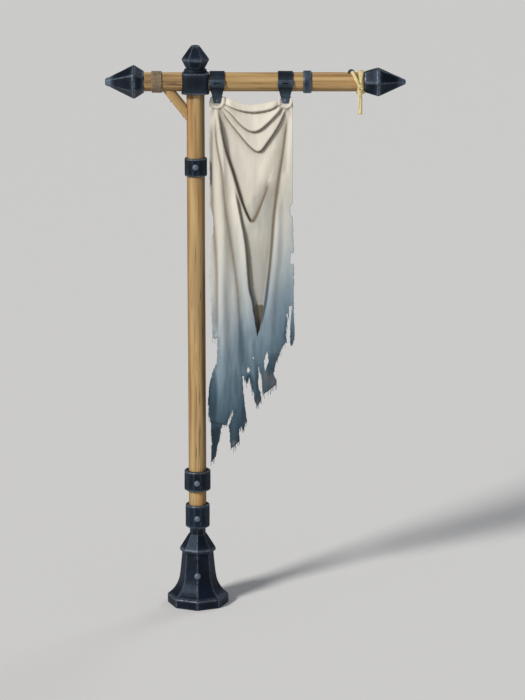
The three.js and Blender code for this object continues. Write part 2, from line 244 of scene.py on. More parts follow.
def cloth_finish(s):
    """Coarse plain weave: cream above, dyed blue towards the torn hem, with painted shade in the folds."""
    f = Finish("banner_weave")
    axes = f.node("ShaderNodeSeparateXYZ", {}, {"Vector": f.place})
    x = Value(f, axes.socket.node.outputs["X"])
    z = Value(f, axes.socket.node.outputs["Z"])
    blots = f.noise(9, 4, 0.6)
    drips = f.noise(1, 3, 0.55, f.stretched((26, 26, 2.6)))
    inner = f.attribute("inner")
    height = z - 0.95 * (x - 0.06) + 0.1 * (blots - 0.5) + 0.13 * (drips - 0.5) + 0.3 * inner
    # The deep patches push the dye ramp darker: deeper dye in places, and painted shade where the cloth folds back
    # behind.
    height = height - 0.24 * f.attribute("deep")
    share = f.node("ShaderNodeMapRange", {}, {"Value": height, "From Min": 0.6, "From Max": 1.8})
    dye = f.ramp(share, [
        (0.0, s.tip[:]), (0.13, s.deep[:]), (0.27, s.steel[:]), (0.40, s.sky[:]),
        (0.51, s.haze[:]), (0.68, s.pale[:]), (0.90, s.cream[:]),
    ])
    stain = f.step(f.noise(6, 4, 0.6, f.stretched((1, 1, 0.6))), 0.5, 0.72) * 0.3
    dye = f.mix(stain, dye, s.stain[:], "MULTIPLY")
    # The inner panel is held back from the dye and greyed: the grey is painted shade of the recessed panel.
    dye = f.mix(inner * 0.7, dye, s.inner[:])
    dust = f.attribute("dust") * f.step(f.noise(40, 3, 0.6), 0.3, 0.6)
    dye = f.mix(dust * 0.8, dye, s.dust[:])
    # Painted shade: brown in the upper creases and navy in the dyed ones, laid along each crease line and over the
    # tucked-under side of each fold.
    crease_shade = f.mix(f.step(height, 1.45, 1.05), s.crease[:], s.crease_blue[:])
    dye = f.mix(f.attribute("shade") * 0.6, dye, f.mix(0.72, dye, crease_shade))
    dye = f.mix(f.attribute("crease"), dye, crease_shade)
    fray = f.attribute("torn") * f.step(f.noise(90, 3, 0.6), 0.35, 0.6)
    dye = f.mix(fray * 0.45, dye, s.tip[:])

    def ribs(direction):
        settings = {"wave_type": "BANDS", "bands_direction": direction}
        inputs = {"Vector": f.place, "Scale": 150, "Distortion": 1.2}
        return f.node("ShaderNodeTexWave", settings, inputs, output="Fac")

    warp = ribs("X")
    weft = ribs("Z")
    slub = f.noise(1, 2, 0.5, f.stretched((220, 220, 12)))
    f.bump(warp * weft + 0.5 * slub, 0.0007, 0.55)
    shade = 0.94 + 0.1 * (warp * weft) - 0.08 * slub
    thread = f.node("ShaderNodeCombineColor", {}, {0: shade, 1: shade, 2: shade})
    return f.surface(Base_Color=f.mix(1.0, dye, thread, "MULTIPLY"), Roughness=0.92, Sheen_Weight=0.15)


def cord_finish(name, light, dark):
    """Twisted fibre: u runs along the cord and v round it."""
    f = Finish(name)
    uv = f.node("ShaderNodeUVMap", {"uv_map": "UVMap"})
    fibres = f.noise(1, 4, 0.6, f.node("ShaderNodeMapping", {}, {"Vector": uv, "Scale": (60, 9, 1)}))
    clumps = f.noise(60, 3, 0.6)
    colour = f.mix(f.step(fibres, 0.35, 0.7), dark, light)
    colour = f.mix(f.step(clumps, 0.5, 0.75) * 0.4, colour, tuple(c * 0.45 for c in dark))
    # Painted shade: darkens the grooves between the strands.
    colour = f.mix(f.attribute("groove") * 0.8, colour, tuple(c * 0.3 for c in dark))
    f.bump(fibres, 0.0009, 0.8)
    return f.surface(Base_Color=colour, Roughness=0.85)


# Meshes.


def mesh_piece(name, verts, faces, material, smooth=True):
    mesh = bpy.data.meshes.new(name)
    mesh.from_pydata([tuple(v) for v in verts], [], [tuple(f) for f in faces])
    mesh.validate()
    if smooth:
        mesh.polygons.foreach_set("use_smooth", [True] * len(mesh.polygons))
    piece = bpy.data.objects.new(name, mesh)
    bpy.context.scene.collection.objects.link(piece)
    mesh.materials.append(material)
    return piece


def put(piece, body, slot, *nodes):
    """Makes a piece ride on its body and stand for its nodes; its slot is not used."""
    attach(piece, body)
    if nodes:
        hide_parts(*nodes)
    return piece


def point_values(piece, name, values):
    layer = piece.data.attributes.new(name, "FLOAT", "POINT")
    layer.data.foreach_set("value", np.asarray(values, np.float32))


def smoothstep(low, high, value):
    t = np.clip((value - low) / (high - low), 0, 1)
    return t * t * (3 - 2 * t)


def clean_copy(node):
    """The node's solid with its vertices joined and its flat faces whole."""
    bm = bmesh.new()
    bm.from_mesh(frame["nodes"][node].data)
    bmesh.ops.remove_doubles(bm, verts=bm.verts, dist=2e-5)
    bmesh.ops.dissolve_limit(bm, angle_limit=math.radians(1.5), verts=bm.verts, edges=bm.edges)
    bmesh.ops.recalc_face_normals(bm, faces=bm.faces)
    return bm


def refine(bm, longest, rounds=6):
    bmesh.ops.triangulate(bm, faces=bm.faces)
    for _ in range(rounds):
        long_edges = [e for e in bm.edges if e.calc_length() > longest]
        if not long_edges:
            return
        bmesh.ops.subdivide_edges(bm, edges=long_edges, cuts=1)
        bmesh.ops.triangulate(bm, faces=bm.faces)


def forge(node, body, material, width, dent, sharp=20, shortest=0.006, longest=0.012):
    """An iron piece with its edges rounded and worn, and its faces a little uneven from the hammer."""
    bm = clean_copy(node)
    wear = bm.faces.layers.float.new("wear")
    edges = [
        e for e in bm.edges
        if len(e.link_faces) == 2 and e.is_convex
        and e.calc_face_angle() > math.radians(sharp) and e.calc_length() > shortest
    ]
    bevelled = bmesh.ops.bevel(
        bm, geom=edges, offset=width, offset_type="OFFSET", segments=2, profile=0.55,
        affect="EDGES", clamp_overlap=True, loop_slide=True)
    for face in bevelled["faces"]:
        face[wear] = 1.0
    refine(bm, longest)
    bm.normal_update()
    for v in bm.verts:
        low = noise.noise(v.co * 17)
        high = noise.noise(v.co * 62)
        v.co -= v.normal * dent * (0.5 + 0.5 * low + 0.25 * high)
    mesh = bpy.data.meshes.new(f"{node}_forged")
    bm.to_mesh(mesh)
    bm.free()
    mesh.polygons.foreach_set("use_smooth", [True] * len(mesh.polygons))
    mesh.materials.append(material)
    piece = bpy.data.objects.new(f"{node}_forged", mesh)
    bpy.context.scene.collection.objects.link(piece)
    return put(piece, body, "iron", node)


def polygon(angle, sides, turn):
    """How far a regular polygon's side is from its centre at an angle, with its corners at 1."""
    sector = 2 * math.pi / sides
    off = (angle - turn) % sector - sector / 2
    return math.cos(sector / 2) / math.cos(off)


def block(angle, power=5.0):
    """How far a bulging square's side is from its centre at an angle, with the middle of a side at 1."""
    return (abs(math.cos(angle)) ** power + abs(math.sin(angle)) ** power) ** (-1 / power)


def softened(profile, edge, pitch):
    """(along, radius, round share, wear, rub) rows of a profile, its corners rounded off."""
    rows = []
    last = len(profile) - 1
    for i, (z, r, *more) in enumerate(profile):
        share, worn = (more + [0.0, 1.0][len(more):])[:2]
        here = Vector((z, r))
        before = Vector(profile[i - 1][:2]) if i else None
        after = Vector(profile[i + 1][:2]) if i < last else None
        if before is not None:
            run = (before - here).length
            count = int(run / pitch)
            start = profile[i - 1]
            from_share = start[2] if len(start) > 2 else 0.0
            for k in range(1, count):
                t = k / count
                if min(t, 1 - t) * run > 2.5 * edge:
                    p = before.lerp(here, t)
                    rub = 0.6 * math.exp(-min(t, 1 - t) * run / 0.006)
                    rows.append((p.x, p.y, from_share * (1 - t) + share * t, 0.0, rub))
        if before is None or after is None or r < 1e-6:
            rows.append((z, r, share, 0.0, 0.0))
            continue
        back, on = (before - here), (after - here)
        size = min(edge, back.length * 0.3, on.length * 0.3)
        a, b = here + back.normalized() * size, here + on.normalized() * size
        middle = here * 0.5 + a * 0.25 + b * 0.25
        far_a, far_b = here + back.normalized() * size * 2, here + on.normalized() * size * 2
        for p, wear in ((far_a, 0.0), (a, 0.6), (middle, 1.0), (b, 0.6), (far_b, 0.0)):
            rows.append((p.x, p.y, share, wear * worn, worn))
    return rows


def faceted(name, profile, section, material, corners=(), axis="Z", edge=0.003, corner_wear=0.5,
            dent=0.0008, pitch=0.008, centre=(0, 0, 0), loop=False):
    """A forged form on an axis: a profile swept round a section whose corners are worn."""
    biggest = max(r for _, r, *_ in profile)
    delta = edge / biggest
    angles = set()
    for corner in corners:
        angles |= {round((corner + k * delta) % (2 * math.pi), 6) for k in (-2, -1, 0, 1, 2)}
    step = pitch / biggest
    for k in range(int(2 * math.pi / step)):
        a = k * step
        gaps = [abs((a - c + math.pi) % (2 * math.pi) - math.pi) for c in corners] or [9]
        if min(gaps) > 2.6 * delta:
            angles.add(round(a, 6))
    angles = sorted(angles)
    rows = softened(profile, edge, pitch)
    verts, wears, rubs = [], [], []
    for z, r, share, worn, rub in rows:
        for a in angles:
            gap = min([abs((a - c + math.pi) % (2 * math.pi) - math.pi) for c in corners] or [9]) / delta
            near = max(0.0, 1 - gap / 2) * (1 - share)
            form = section(a) * (1 - share) + share
            reach = r * form - near * edge * 0.28 * (r / biggest)
            lump = noise.noise(Vector((math.cos(a) * reach * 24, math.sin(a) * reach * 24, z * 24)))
            fine = noise.noise(Vector((math.cos(a) * reach * 80, math.sin(a) * reach * 80, z * 80 + 5)))
            if share < 0.5 and r > 1e-4:
                reach -= dent * (0.5 + 0.5 * lump + 0.3 * fine)
            across = (reach * math.cos(a), reach * math.sin(a))
            if axis == "Z":
                spot = (across[0], across[1], z)
            else:
                spot = (z, across[0], across[1])
            verts.append(Vector(spot) + Vector(centre))
            wears.append(max(worn * (1 - share), near * corner_wear))
            rubs.append(max(rub, 0.6 * math.exp(-gap * edge / 0.006)) * (1 - share))
    count, rings = len(angles), len(rows)
    faces = []
    for i in range(rings if loop else rings - 1):
        for j in range(count):
            k, n = (j + 1) % count, (i + 1) % rings
            faces.append((i * count + j, i * count + k, n * count + k, n * count + j))
    piece = mesh_piece(name, verts, faces, material)
    point_values(piece, "wear", wears)
    point_values(piece, "rub", rubs)
    bm = bmesh.new()
    bm.from_mesh(piece.data)
    bmesh.ops.remove_doubles(bm, verts=bm.verts, dist=1e-5)
    bmesh.ops.dissolve_degenerate(bm, edges=bm.edges, dist=1e-6)
    bmesh.ops.recalc_face_normals(bm, faces=bm.faces)
    bm.to_mesh(piece.data)
    bm.free()
    return piece


def rubbed(piece, amounts):
    """Adds to how much of each point's blacking is rubbed away."""
    layer = piece.data.attributes["rub"].data
    before = np.zeros(len(layer), np.float32)
    layer.foreach_get("value", before)
    layer.foreach_set("value", before + np.asarray(amounts, np.float32))


def along_x(piece):
    return np.array([v.co.x for v in piece.data.vertices])


# Geometry node trees.


class Tree:
    """A geometry node tree with named inputs."""

    def __init__(self, name, inputs):
        self.tree = bpy.data.node_groups.new(name, "GeometryNodeTree")
        face = self.tree.interface
        face.new_socket("Geometry", in_out="INPUT", socket_type="NodeSocketGeometry")
        self.names = {}
        for label, kind, default in (*inputs, ("Material", "NodeSocketMaterial", None)):
            socket = face.new_socket(label, in_out="INPUT", socket_type=kind)
            if default is not None:
                socket.default_value = default
            self.names[label] = socket.identifier
        face.new_socket("Geometry", in_out="OUTPUT", socket_type="NodeSocketGeometry")
        self.start = self.tree.nodes.new("NodeGroupInput")
        self.end = self.tree.nodes.new("NodeGroupOutput")

    def input(self, label):
        return self.start.outputs[label]

    def node(self, kind, settings=None, inputs=None):
        made = self.tree.nodes.new(kind)
        for key, value in (settings or {}).items():
            setattr(made, key, value)
        for key, value in (inputs or {}).items():
            if isinstance(value, bpy.types.NodeSocket):
                self.tree.links.new(value, made.inputs[key])
            else:
                made.inputs[key].default_value = value
        return made

    def finish(self, geometry):
        real = self.node("GeometryNodeRealizeInstances", {}, {"Geometry": geometry})
        skin = self.node("GeometryNodeSetMaterial", {}, {
            "Geometry": real.outputs[0], "Material": self.input("Material")})
        self.tree.links.new(skin.outputs[0], self.end.inputs[0])

    def grow(self, name, verts, edges=(), **values):
        """Runs the tree on a few points and returns the plain mesh piece that it makes."""
        seed = bpy.data.meshes.new(f"{name}_points")
        seed.from_pydata([tuple(v) for v in verts], list(edges), [])
        base = bpy.data.objects.new(f"{name}_base", seed)
        bpy.context.scene.collection.objects.link(base)
        modifier = base.modifiers.new("grow", "NODES")
        modifier.node_group = self.tree
        for label, value in values.items():
            modifier[self.names[label.replace("_", " ")]] = value
        bpy.context.view_layer.update()
        evaluated = base.evaluated_get(bpy.context.evaluated_depsgraph_get())
        mesh = bpy.data.meshes.new_from_object(evaluated)
        mesh.name = name
        bpy.data.objects.remove(base)
        piece = bpy.data.objects.new(name, mesh)
        bpy.context.scene.collection.objects.link(piece)
        mesh.polygons.foreach_set("use_smooth", [True] * len(mesh.polygons))
        return piece


def rivet_tree():
    """A flattened, slightly dented ball at each point, whose outer half shows as a rivet's dome."""
    t = Tree("rivet_heads", [
        ("Radius", "NodeSocketFloat", 0.0135),
        ("Rise", "NodeSocketFloat", 0.0084),
        ("Dent", "NodeSocketFloat", 0.0005),
    ])
    ball = t.node("GeometryNodeMeshUVSphere", {}, {"Segments": 28, "Rings": 16, "Radius": 1.0})
    size = t.node("ShaderNodeCombineXYZ", {}, {
        "X": t.input("Radius"), "Y": t.input("Rise"), "Z": t.input("Radius")})
    heads = t.node("GeometryNodeInstanceOnPoints", {}, {
        "Points": t.start.outputs["Geometry"], "Instance": ball.outputs["Mesh"], "Scale": size.outputs[0]})
    real = t.node("GeometryNodeRealizeInstances", {}, {"Geometry": heads.outputs[0]})
    lumps = t.node("ShaderNodeTexNoise", {}, {"Scale": 120.0, "Detail": 1.0})
    centred = t.node("ShaderNodeMath", {"operation": "SUBTRACT"}, {0: lumps.outputs[0], 1: 0.5})
    push = t.node("ShaderNodeMath", {"operation": "MULTIPLY"}, {0: centred.outputs[0], 1: t.input("Dent")})
    normal = t.node("GeometryNodeInputNormal")
    offset = t.node("ShaderNodeVectorMath", {"operation": "SCALE"}, {
        "Vector": normal.outputs[0], "Scale": push.outputs[0]})
    dented = t.node("GeometryNodeSetPosition", {}, {
        "Geometry": real.outputs[0], "Offset": offset.outputs[0]})
    t.finish(dented.outputs[0])
    return t


def screw_tree():
    """A low domed screw head with a slot at each point, facing the back."""
    t = Tree("screw_heads", [
        ("Radius", "NodeSocketFloat", 0.006),
        ("Rise", "NodeSocketFloat", 0.003),
        ("Slot", "NodeSocketFloat", 0.0012),
    ])
    ball = t.node("GeometryNodeMeshUVSphere", {}, {"Segments": 24, "Rings": 12, "Radius": 1.0})
    size = t.node("ShaderNodeCombineXYZ", {}, {
        "X": t.input("Radius"), "Y": t.input("Rise"), "Z": t.input("Radius")})
    domed = t.node("GeometryNodeTransform", {}, {"Geometry": ball.outputs["Mesh"], "Scale": size.outputs[0]})
    length = t.node("ShaderNodeMath", {"operation": "MULTIPLY"}, {0: t.input("Radius"), 1: 2.4})
    bar = t.node("ShaderNodeCombineXYZ", {}, {
        "X": length.outputs[0], "Y": t.input("Rise"), "Z": t.input("Slot")})
    cutter = t.node("GeometryNodeMeshCube", {}, {"Size": bar.outputs[0]})
    lift = t.node("ShaderNodeCombineXYZ", {}, {"Y": t.input("Rise")})
    placed = t.node("GeometryNodeTransform", {}, {
        "Geometry": cutter.outputs["Mesh"], "Translation": lift.outputs[0], "Rotation": (0.0, 0.5, 0.0)})
    slotted = t.node("GeometryNodeMeshBoolean", {"operation": "DIFFERENCE", "solver": "EXACT"})
    t.tree.links.new(domed.outputs[0], slotted.inputs[0])
    t.tree.links.new(placed.outputs[0], slotted.inputs[1])
    heads = t.node("GeometryNodeInstanceOnPoints", {}, {
        "Points": t.start.outputs["Geometry"], "Instance": slotted.outputs["Mesh"]})
    t.finish(heads.outputs[0])
    return t


def thread_tree():
    """A thin thread along each line of points, with each point moved a little at random."""
    t = Tree("loose_threads", [("Radius", "NodeSocketFloat", 0.0010), ("Seed", "NodeSocketInt", 4)])
    lines = t.node("GeometryNodeMeshToCurve", {}, {"Mesh": t.start.outputs["Geometry"]})
    wander = t.node("FunctionNodeRandomValue", {"data_type": "FLOAT_VECTOR"}, {
        "Min": (-0.0012, -0.0012, -0.0010), "Max": (0.0012, 0.0012, 0.0010), "Seed": t.input("Seed")})
    bent = t.node("GeometryNodeSetPosition", {}, {"Geometry": lines.outputs[0], "Offset": wander.outputs[0]})
    ring = t.node("GeometryNodeCurvePrimitiveCircle", {}, {"Resolution": 4, "Radius": t.input("Radius")})
    tubes = t.node("GeometryNodeCurveToMesh", {}, {
        "Curve": bent.outputs[0], "Profile Curve": ring.outputs[0], "Fill Caps": True})
    t.finish(tubes.outputs[0])
    return t


# Settings.


def size(name, description, default):
    return bpy.props.FloatProperty(
        name=name, description=description, default=default, unit="LENGTH", precision=5)


def colour(name, description, default):
    return bpy.props.FloatVectorProperty(
        name=name, description=description, default=default, subtype="COLOR", size=3, min=0, max=1)


class IronSettings(bpy.types.PropertyGroup):
    edge: size("Edge", "How far the edges of the castings are rounded", 0.0036)
    strap_edge: size("Strap edge", "How far the edges of the straps are rounded", 0.0013)
    dent: size("Dent", "How uneven the castings' faces are", 0.0011)
    dark: colour("Dark skin", "Blackened iron in the hollows", (0.0012, 0.0019, 0.0036))
    blue: colour("Blue skin", "Blackened iron on the open faces", (0.0030, 0.0078, 0.0205))
    rubbed: colour("Rubbed skin", "Where hands and cloth have rubbed the blacking", (0.090, 0.125, 0.165))
    worn: colour("Worn edge", "Bare metal along the edges", (0.19, 0.215, 0.26))
    head: colour("Rivet head", "Polished rivet heads", (0.17, 0.20, 0.26))


class WoodSettings(bpy.types.PropertyGroup):
    groove: size("Groove", "How deep the weathered grain is", 0.0012)
    crack: size("Crack", "How deep the drying cracks are", 0.0026)
    tan: colour("Tan", "The wood's main colour", (0.40, 0.25, 0.097))
    pale: colour("Pale", "Paler stretches", (0.50, 0.34, 0.15))
    shade: colour("Shade", "Darker stretches", (0.20, 0.108, 0.040))
    golden: colour("Golden", "Orange streaks", (0.43, 0.185, 0.045))
    grey: colour("Grey", "Weathered stretches", (0.31, 0.205, 0.095))
    # Painted shade: the colour that the timber's shaded flanks and underside are multiplied by.
    soot: colour("Weathering", "Stain on the sheltered side", (0.42, 0.33, 0.26))
    line: colour("Grain line", "Dark grain lines", (0.11, 0.058, 0.024))


class ClothSettings(bpy.types.PropertyGroup):
    thickness: size("Thickness", "Thickness of the cloth", 0.0018)
    cream: colour("Cream", "Undyed cloth at the top", (0.80, 0.755, 0.655))
    pale: colour("Pale cloth", "Washed cloth above the dye", (0.66, 0.665, 0.625))
    haze: colour("Haze", "Where the dye begins", (0.42, 0.475, 0.50))
    sky: colour("Sky", "Pale dye", (0.235, 0.31, 0.37))
    steel: colour("Steel", "Strong dye", (0.115, 0.185, 0.235))
    deep: colour("Deep", "Dye near the torn ends", (0.035, 0.078, 0.115))
    tip: colour("Tip", "Dye at the tips", (0.010, 0.028, 0.045))
    stain: colour("Stain", "Old damp stains", (0.78, 0.72, 0.60))
    # Grey beige of the inner panel: partly its own undyed colour, partly painted shade of the recess.
    inner: colour("Inner fold", "The sheltered cloth inside the deep fold", (0.44, 0.435, 0.395))
    dust: colour("Dust", "Grey-brown scorching at the torn ends", (0.13, 0.12, 0.125))
    # The two crease colours are painted shade in the folds: brown above the dye and navy within it.
    crease: colour("Crease", "Grime in the upper creases", (0.13, 0.095, 0.055))
    crease_blue: colour("Dyed crease", "Grime in the dyed creases", (0.022, 0.042, 0.070))


class CordSettings(bpy.types.PropertyGroup):
    diameter: size("Tie cord", "Width of the tie cord round the bar", 0.0165)
    straw: colour("Straw", "The tie cord's light fibres", (0.86, 0.74, 0.42))
    straw_dark: colour("Straw shade", "The tie cord's dark fibres", (0.58, 0.46, 0.19))
    hemp: colour("Hemp", "The lashing's light fibres", (0.44, 0.35, 0.235))
    hemp_dark: colour("Hemp shade", "The lashing's dark fibres", (0.15, 0.105, 0.062))


class StageSettings(bpy.types.PropertyGroup):
    distance: size("Camera distance", "From the camera to the stand", 12.5)
    height: size("Aim height", "Height that the camera looks at", 1.160)
    across: size("Aim across", "How far right of the pole the camera looks", 0.289)
    pitch: bpy.props.FloatProperty(
        name="Pitch", description="How far down the camera looks", default=math.radians(13), subtype="ANGLE")


# Pieces.


class BANNER_OT_stage(bpy.types.Operator):
    """Makes the floor, the soft lights and the camera"""

    bl_idname = "banner.stage"
    bl_label = "Stage"

    def execute(self, context):
        s = context.scene.banner_stage
        lens, sensor = 146.1, 36.0
        data = bpy.data.cameras.new("stand_camera")
        data.lens = lens
        data.sensor_width = sensor
        data.clip_end = 100
        camera = bpy.data.objects.new("stand_camera", data)
        context.scene.collection.objects.link(camera)
        back = Vector((0, -math.cos(s.pitch), math.sin(s.pitch)))
        camera.location = Vector((s.across, 0, s.height)) + back * s.distance
        camera.rotation_euler = (-back).to_track_quat("-Z", "Y").to_euler()
        context.scene.camera = camera

        floor = Finish("floor_paint")
        floor.surface(Base_Color=(0.74, 0.735, 0.725, 1), Roughness=0.95)
        half = 60
        corners = [(-half, -half, 0), (half, -half, 0), (half, half, 0), (-half, half, 0)]
        mesh_piece("floor", corners, [(0, 1, 2, 3)], floor.material)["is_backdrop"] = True

        context.scene.world = self.studio()
        context.scene.view_settings.view_transform = "Standard"
        self.sun(context, "key", (-0.84, -0.86, 0.80), 3.1, 12, (1.0, 0.98, 0.945))
        self.sun(context, "rim", (0.6, 0.8, 0.7), 0.4, 20, (0.90, 0.95, 1.0))
        return {"FINISHED"}

    def studio(self):
        """A dim cool fill from all round, seen itself as a wall as pale as the floor."""
        world = bpy.data.worlds.new("studio")
        world.use_nodes = True
        nodes, links = world.node_tree.nodes, world.node_tree.links
        background = nodes["Background"]
        rays = nodes.new("ShaderNodeLightPath")
        strength = nodes.new("ShaderNodeMapRange")
        strength.inputs["To Min"].default_value = 0.22
        strength.inputs["To Max"].default_value = 0.62
        links.new(rays.outputs["Is Camera Ray"], strength.inputs["Value"])
        links.new(strength.outputs["Result"], background.inputs["Strength"])
        background.inputs["Color"].default_value = (0.90, 0.93, 1.0, 1)
        return world

    def sun(self, context, name, place, strength, spread, tint):
        data = bpy.data.lights.new(name, "SUN")
        data.energy = strength
        data.angle = math.radians(spread)
        data.color = tint
        lamp = bpy.data.objects.new(name, data)
        lamp.location = place
        lamp.rotation_euler = (-lamp.location).to_track_quat("-Z", "Y").to_euler()
        context.scene.collection.objects.link(lamp)


class BANNER_OT_castings(bpy.types.Operator):
    """Makes the pedestal, collars, tee, finials and stop ring"""

    bl_idname = "banner.castings"
    bl_label = "Castings"

    def execute(self, context):
        s = context.scene.banner_iron
        self.iron = bpy.data.materials["blackened_iron"]
        self.pedestal(s)
        for node in ("pedestal_collar", "lower_band", "upper_band"):
            self.collar(node, s)
        self.tee(s)
        self.top_finial(s)
        self.bar_finials(s)
        self.stop_ring(s)
        return {"FINISHED"}

    def cast(self, node, profile, sides, turn, s, **more):
        corners = [turn + 2 * math.pi * k / sides for k in range(sides)]
        piece = faceted(f"{node}_forged", profile, lambda a: polygon(a, sides, turn), self.iron,
                        corners=corners, dent=s.dent, **more)
        return put(piece, "stand", "iron", node)

    def pedestal(self, s):
        def bow(t, start, pull, end):
            return (1 - t) ** 2 * start + 2 * (1 - t) * t * pull + t * t * end

        flare = [(0.046, 0.131, 0.0, 0.3)]
        steps = 6
        for k in range(1, steps + 1):
            t = k / steps
            flare.append((bow(t, 46, 76, 142) * MM, bow(t, 131, 88, 80) * MM, 0.0, 0.0))
        profile = [
            (0.0, 0.0), (0.0, 0.138, 0.0, 0.2), (0.040, 0.138, 0.0, 0.8), *flare, (0.233, 0.071, 0.0, 0.0),
            (0.238, 0.071, 0.0, 0.0), (0.244, 0.081, 0.0, 0.2), (0.256, 0.081, 0.0, 0.7),
            (0.322, 0.040, 0.0, 0.3), (0.324, 0.036, 0.0, 0.0), (0.3517, 0.036), (0.3517, 0.0),
        ]
        self.cast("pedestal", profile, 8, -math.pi / 2, s, edge=s.edge, corner_wear=0.55)

    def collar(self, node, s):
        low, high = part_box(node)
        outer = high.x / math.cos(math.pi / 12)
        inner = POLE_R + GAP
        lip = 0.004
        profile = [
            (low.z, inner, 1.0), (low.z, outer - lip), (low.z + lip, outer), (high.z - lip, outer),
            (high.z, outer - lip), (high.z, inner, 1.0), ((low.z + high.z) / 2, inner, 1.0),
        ]
        self.cast(node, profile, 12, math.pi / 12, s, edge=s.edge * 0.8, corner_wear=0.12, loop=True)

    def tee(self, s):
        low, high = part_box("tee_collar")
        half = 0.0585
        top = high.z - 0.016
        profile = [
            (low.z, 0.0, 0.0), (low.z, half + 0.002), (low.z + 0.006, half + 0.002),
            (low.z + 0.008, half, 0, 0), (top - 0.003, half), (top, half - 0.003),
            (top, 0.049, 1.0), (high.z - 0.003, 0.049, 1.0),
            (high.z, 0.045, 1.0), (high.z, 0.0, 1.0),
        ]
        piece = faceted("tee_collar_forged", profile, block, self.iron, edge=s.edge * 0.8, dent=s.dent * 0.6)
        rubbed(piece, [0.9] * len(piece.data.vertices))
        put(piece, "stand", "iron", "tee_collar")

    def top_finial(self, s):
        low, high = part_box("top_finial")
        wide = 0.0605
        middle = low.z + 0.0396
        profile = [
            (low.z, 0.0), (low.z, 0.040), (low.z + 0.0036, 0.043),
            (middle - 0.003, wide), (middle + 0.003, wide),
            (high.z - 0.004, 0.021), (high.z, 0.017), (high.z, 0.0),
        ]
        self.cast("top_finial", profile, 6, 0.0, s, edge=s.edge, corner_wear=0.4)

    def bar_finials(self, s):
        for node, side, wide, rear, tip_r, nub, turn in (
            ("left_finial", -1, 0.074, 0.043, 0.018, 0.017, math.pi / 2),
            ("right_finial", 1, 0.068, 0.060, 0.012, 0.009, 0.0),
        ):
            low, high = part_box(node)
            face, tip = (high.x, low.x) if side < 0 else (low.x, high.x)
            ridge = face + side * rear
            profile = [
                (face, 0.0), (face, 0.049), (face + side * 0.004, 0.051),
                (ridge - side * 0.004, wide), (ridge + side * 0.004, wide),
                (tip - side * nub, tip_r + 0.003), (tip - side * nub / 3, tip_r),
                (tip, tip_r - 0.005), (tip, 0.0),
            ]
            piece = self.cast(node, profile, 6, turn, s, axis="X", centre=(0, 0, BAR_Z), edge=s.edge * 1.2,
                              corner_wear=0.5)
            rubbed(piece, 4.5 * smoothstep(0.045, 0.012, np.abs(along_x(piece) - tip)))

    def stop_ring(self, s):
        low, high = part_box("stop_ring")
        outer, inner = high.y, BAR_R + GAP
        lip = 0.003
        profile = [
            (low.x, inner, 1.0), (low.x, outer - lip, 1.0), (low.x + lip, outer), (high.x - lip, outer),
            (high.x, outer - lip, 1.0), (high.x, inner, 1.0), ((low.x + high.x) / 2, inner, 1.0),
        ]
        piece = faceted("stop_ring_forged", profile, lambda a: 1.0, self.iron, axis="X", centre=(0, 0, BAR_Z),
                        edge=s.edge * 0.8, dent=s.dent * 0.6, loop=True)
        rubbed(piece, [3.6] * len(piece.data.vertices))
        put(piece, "stand", "iron", "stop_ring")


class BANNER_OT_straps(bpy.types.Operator):
    """Makes the two hangers' straps and keepers"""

    bl_idname = "banner.straps"
    bl_label = "Hangers"

    def execute(self, context):
        s = context.scene.banner_iron
        iron = bpy.data.materials["blackened_iron"]
        for side in ("left", "right"):
            node = f"hanger_{side}_strap"
            strap = forge(node, "hangers", iron, s.strap_edge, s.dent * 0.4, 40, 0.004, 0.008)
            heights = np.array([v.co.z for v in strap.data.vertices])
            point_values(strap, "rub", 0.8 + 5.6 * smoothstep(2.320, 2.262, heights))
            for where in ("front", "back"):
                node = f"hanger_{side}_{where}_keeper"
                keeper = forge(node, "hangers", iron, s.strap_edge, s.dent * 0.3, 40, 0.003, 0.008)
                point_values(keeper, "rub", [3.4] * len(keeper.data.vertices))
        return {"FINISHED"}


class BANNER_OT_rivets(bpy.types.Operator):
    """Makes the rivet, bolt and screw heads"""

    bl_idname = "banner.rivets"
    bl_label = "Rivets and screws"

    def execute(self, context):
        bright = bpy.data.materials["rivet_iron"]
        black = bpy.data.materials["blackened_iron"]
        domes = rivet_tree()
        screws = screw_tree()
        collars = ("pedestal_collar_rivet", "lower_band_rivet", "upper_band_rivet")
        self.heads(domes, "collar_rivets", collars, "stand", (-1,), 0.62, bright)
        self.heads(domes, "pedestal_bolt_head", ("pedestal_bolt",), "stand", (-1,), 0.62, bright)
        hangers = ("hanger_left_rivet", "hanger_right_rivet")
        self.heads(domes, "hanger_rivets", hangers, "hangers", (-1, 1), 0.55, bright)
        backs = ("left_finial_screw", "right_finial_screw", "stop_ring_screw")
        self.heads(screws, "back_screws", backs, "stand", (1,), 0.5, black)
        return {"FINISHED"}

    def heads(self, tree, group, nodes, body, sides, dome, finish):
        points = []
        for node in nodes:
            low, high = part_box(node)
            radius = (high.x - low.x) / 2
            rise = radius * dome
            for side in sides:
                y = low.y + rise if side < 0 else high.y - rise * 0.9
                points.append(((low.x + high.x) / 2, y, (low.z + high.z) / 2))
        piece = tree.grow(group, points, Radius=radius, Rise=rise, Material=finish)
        put(piece, body, "iron", *nodes)


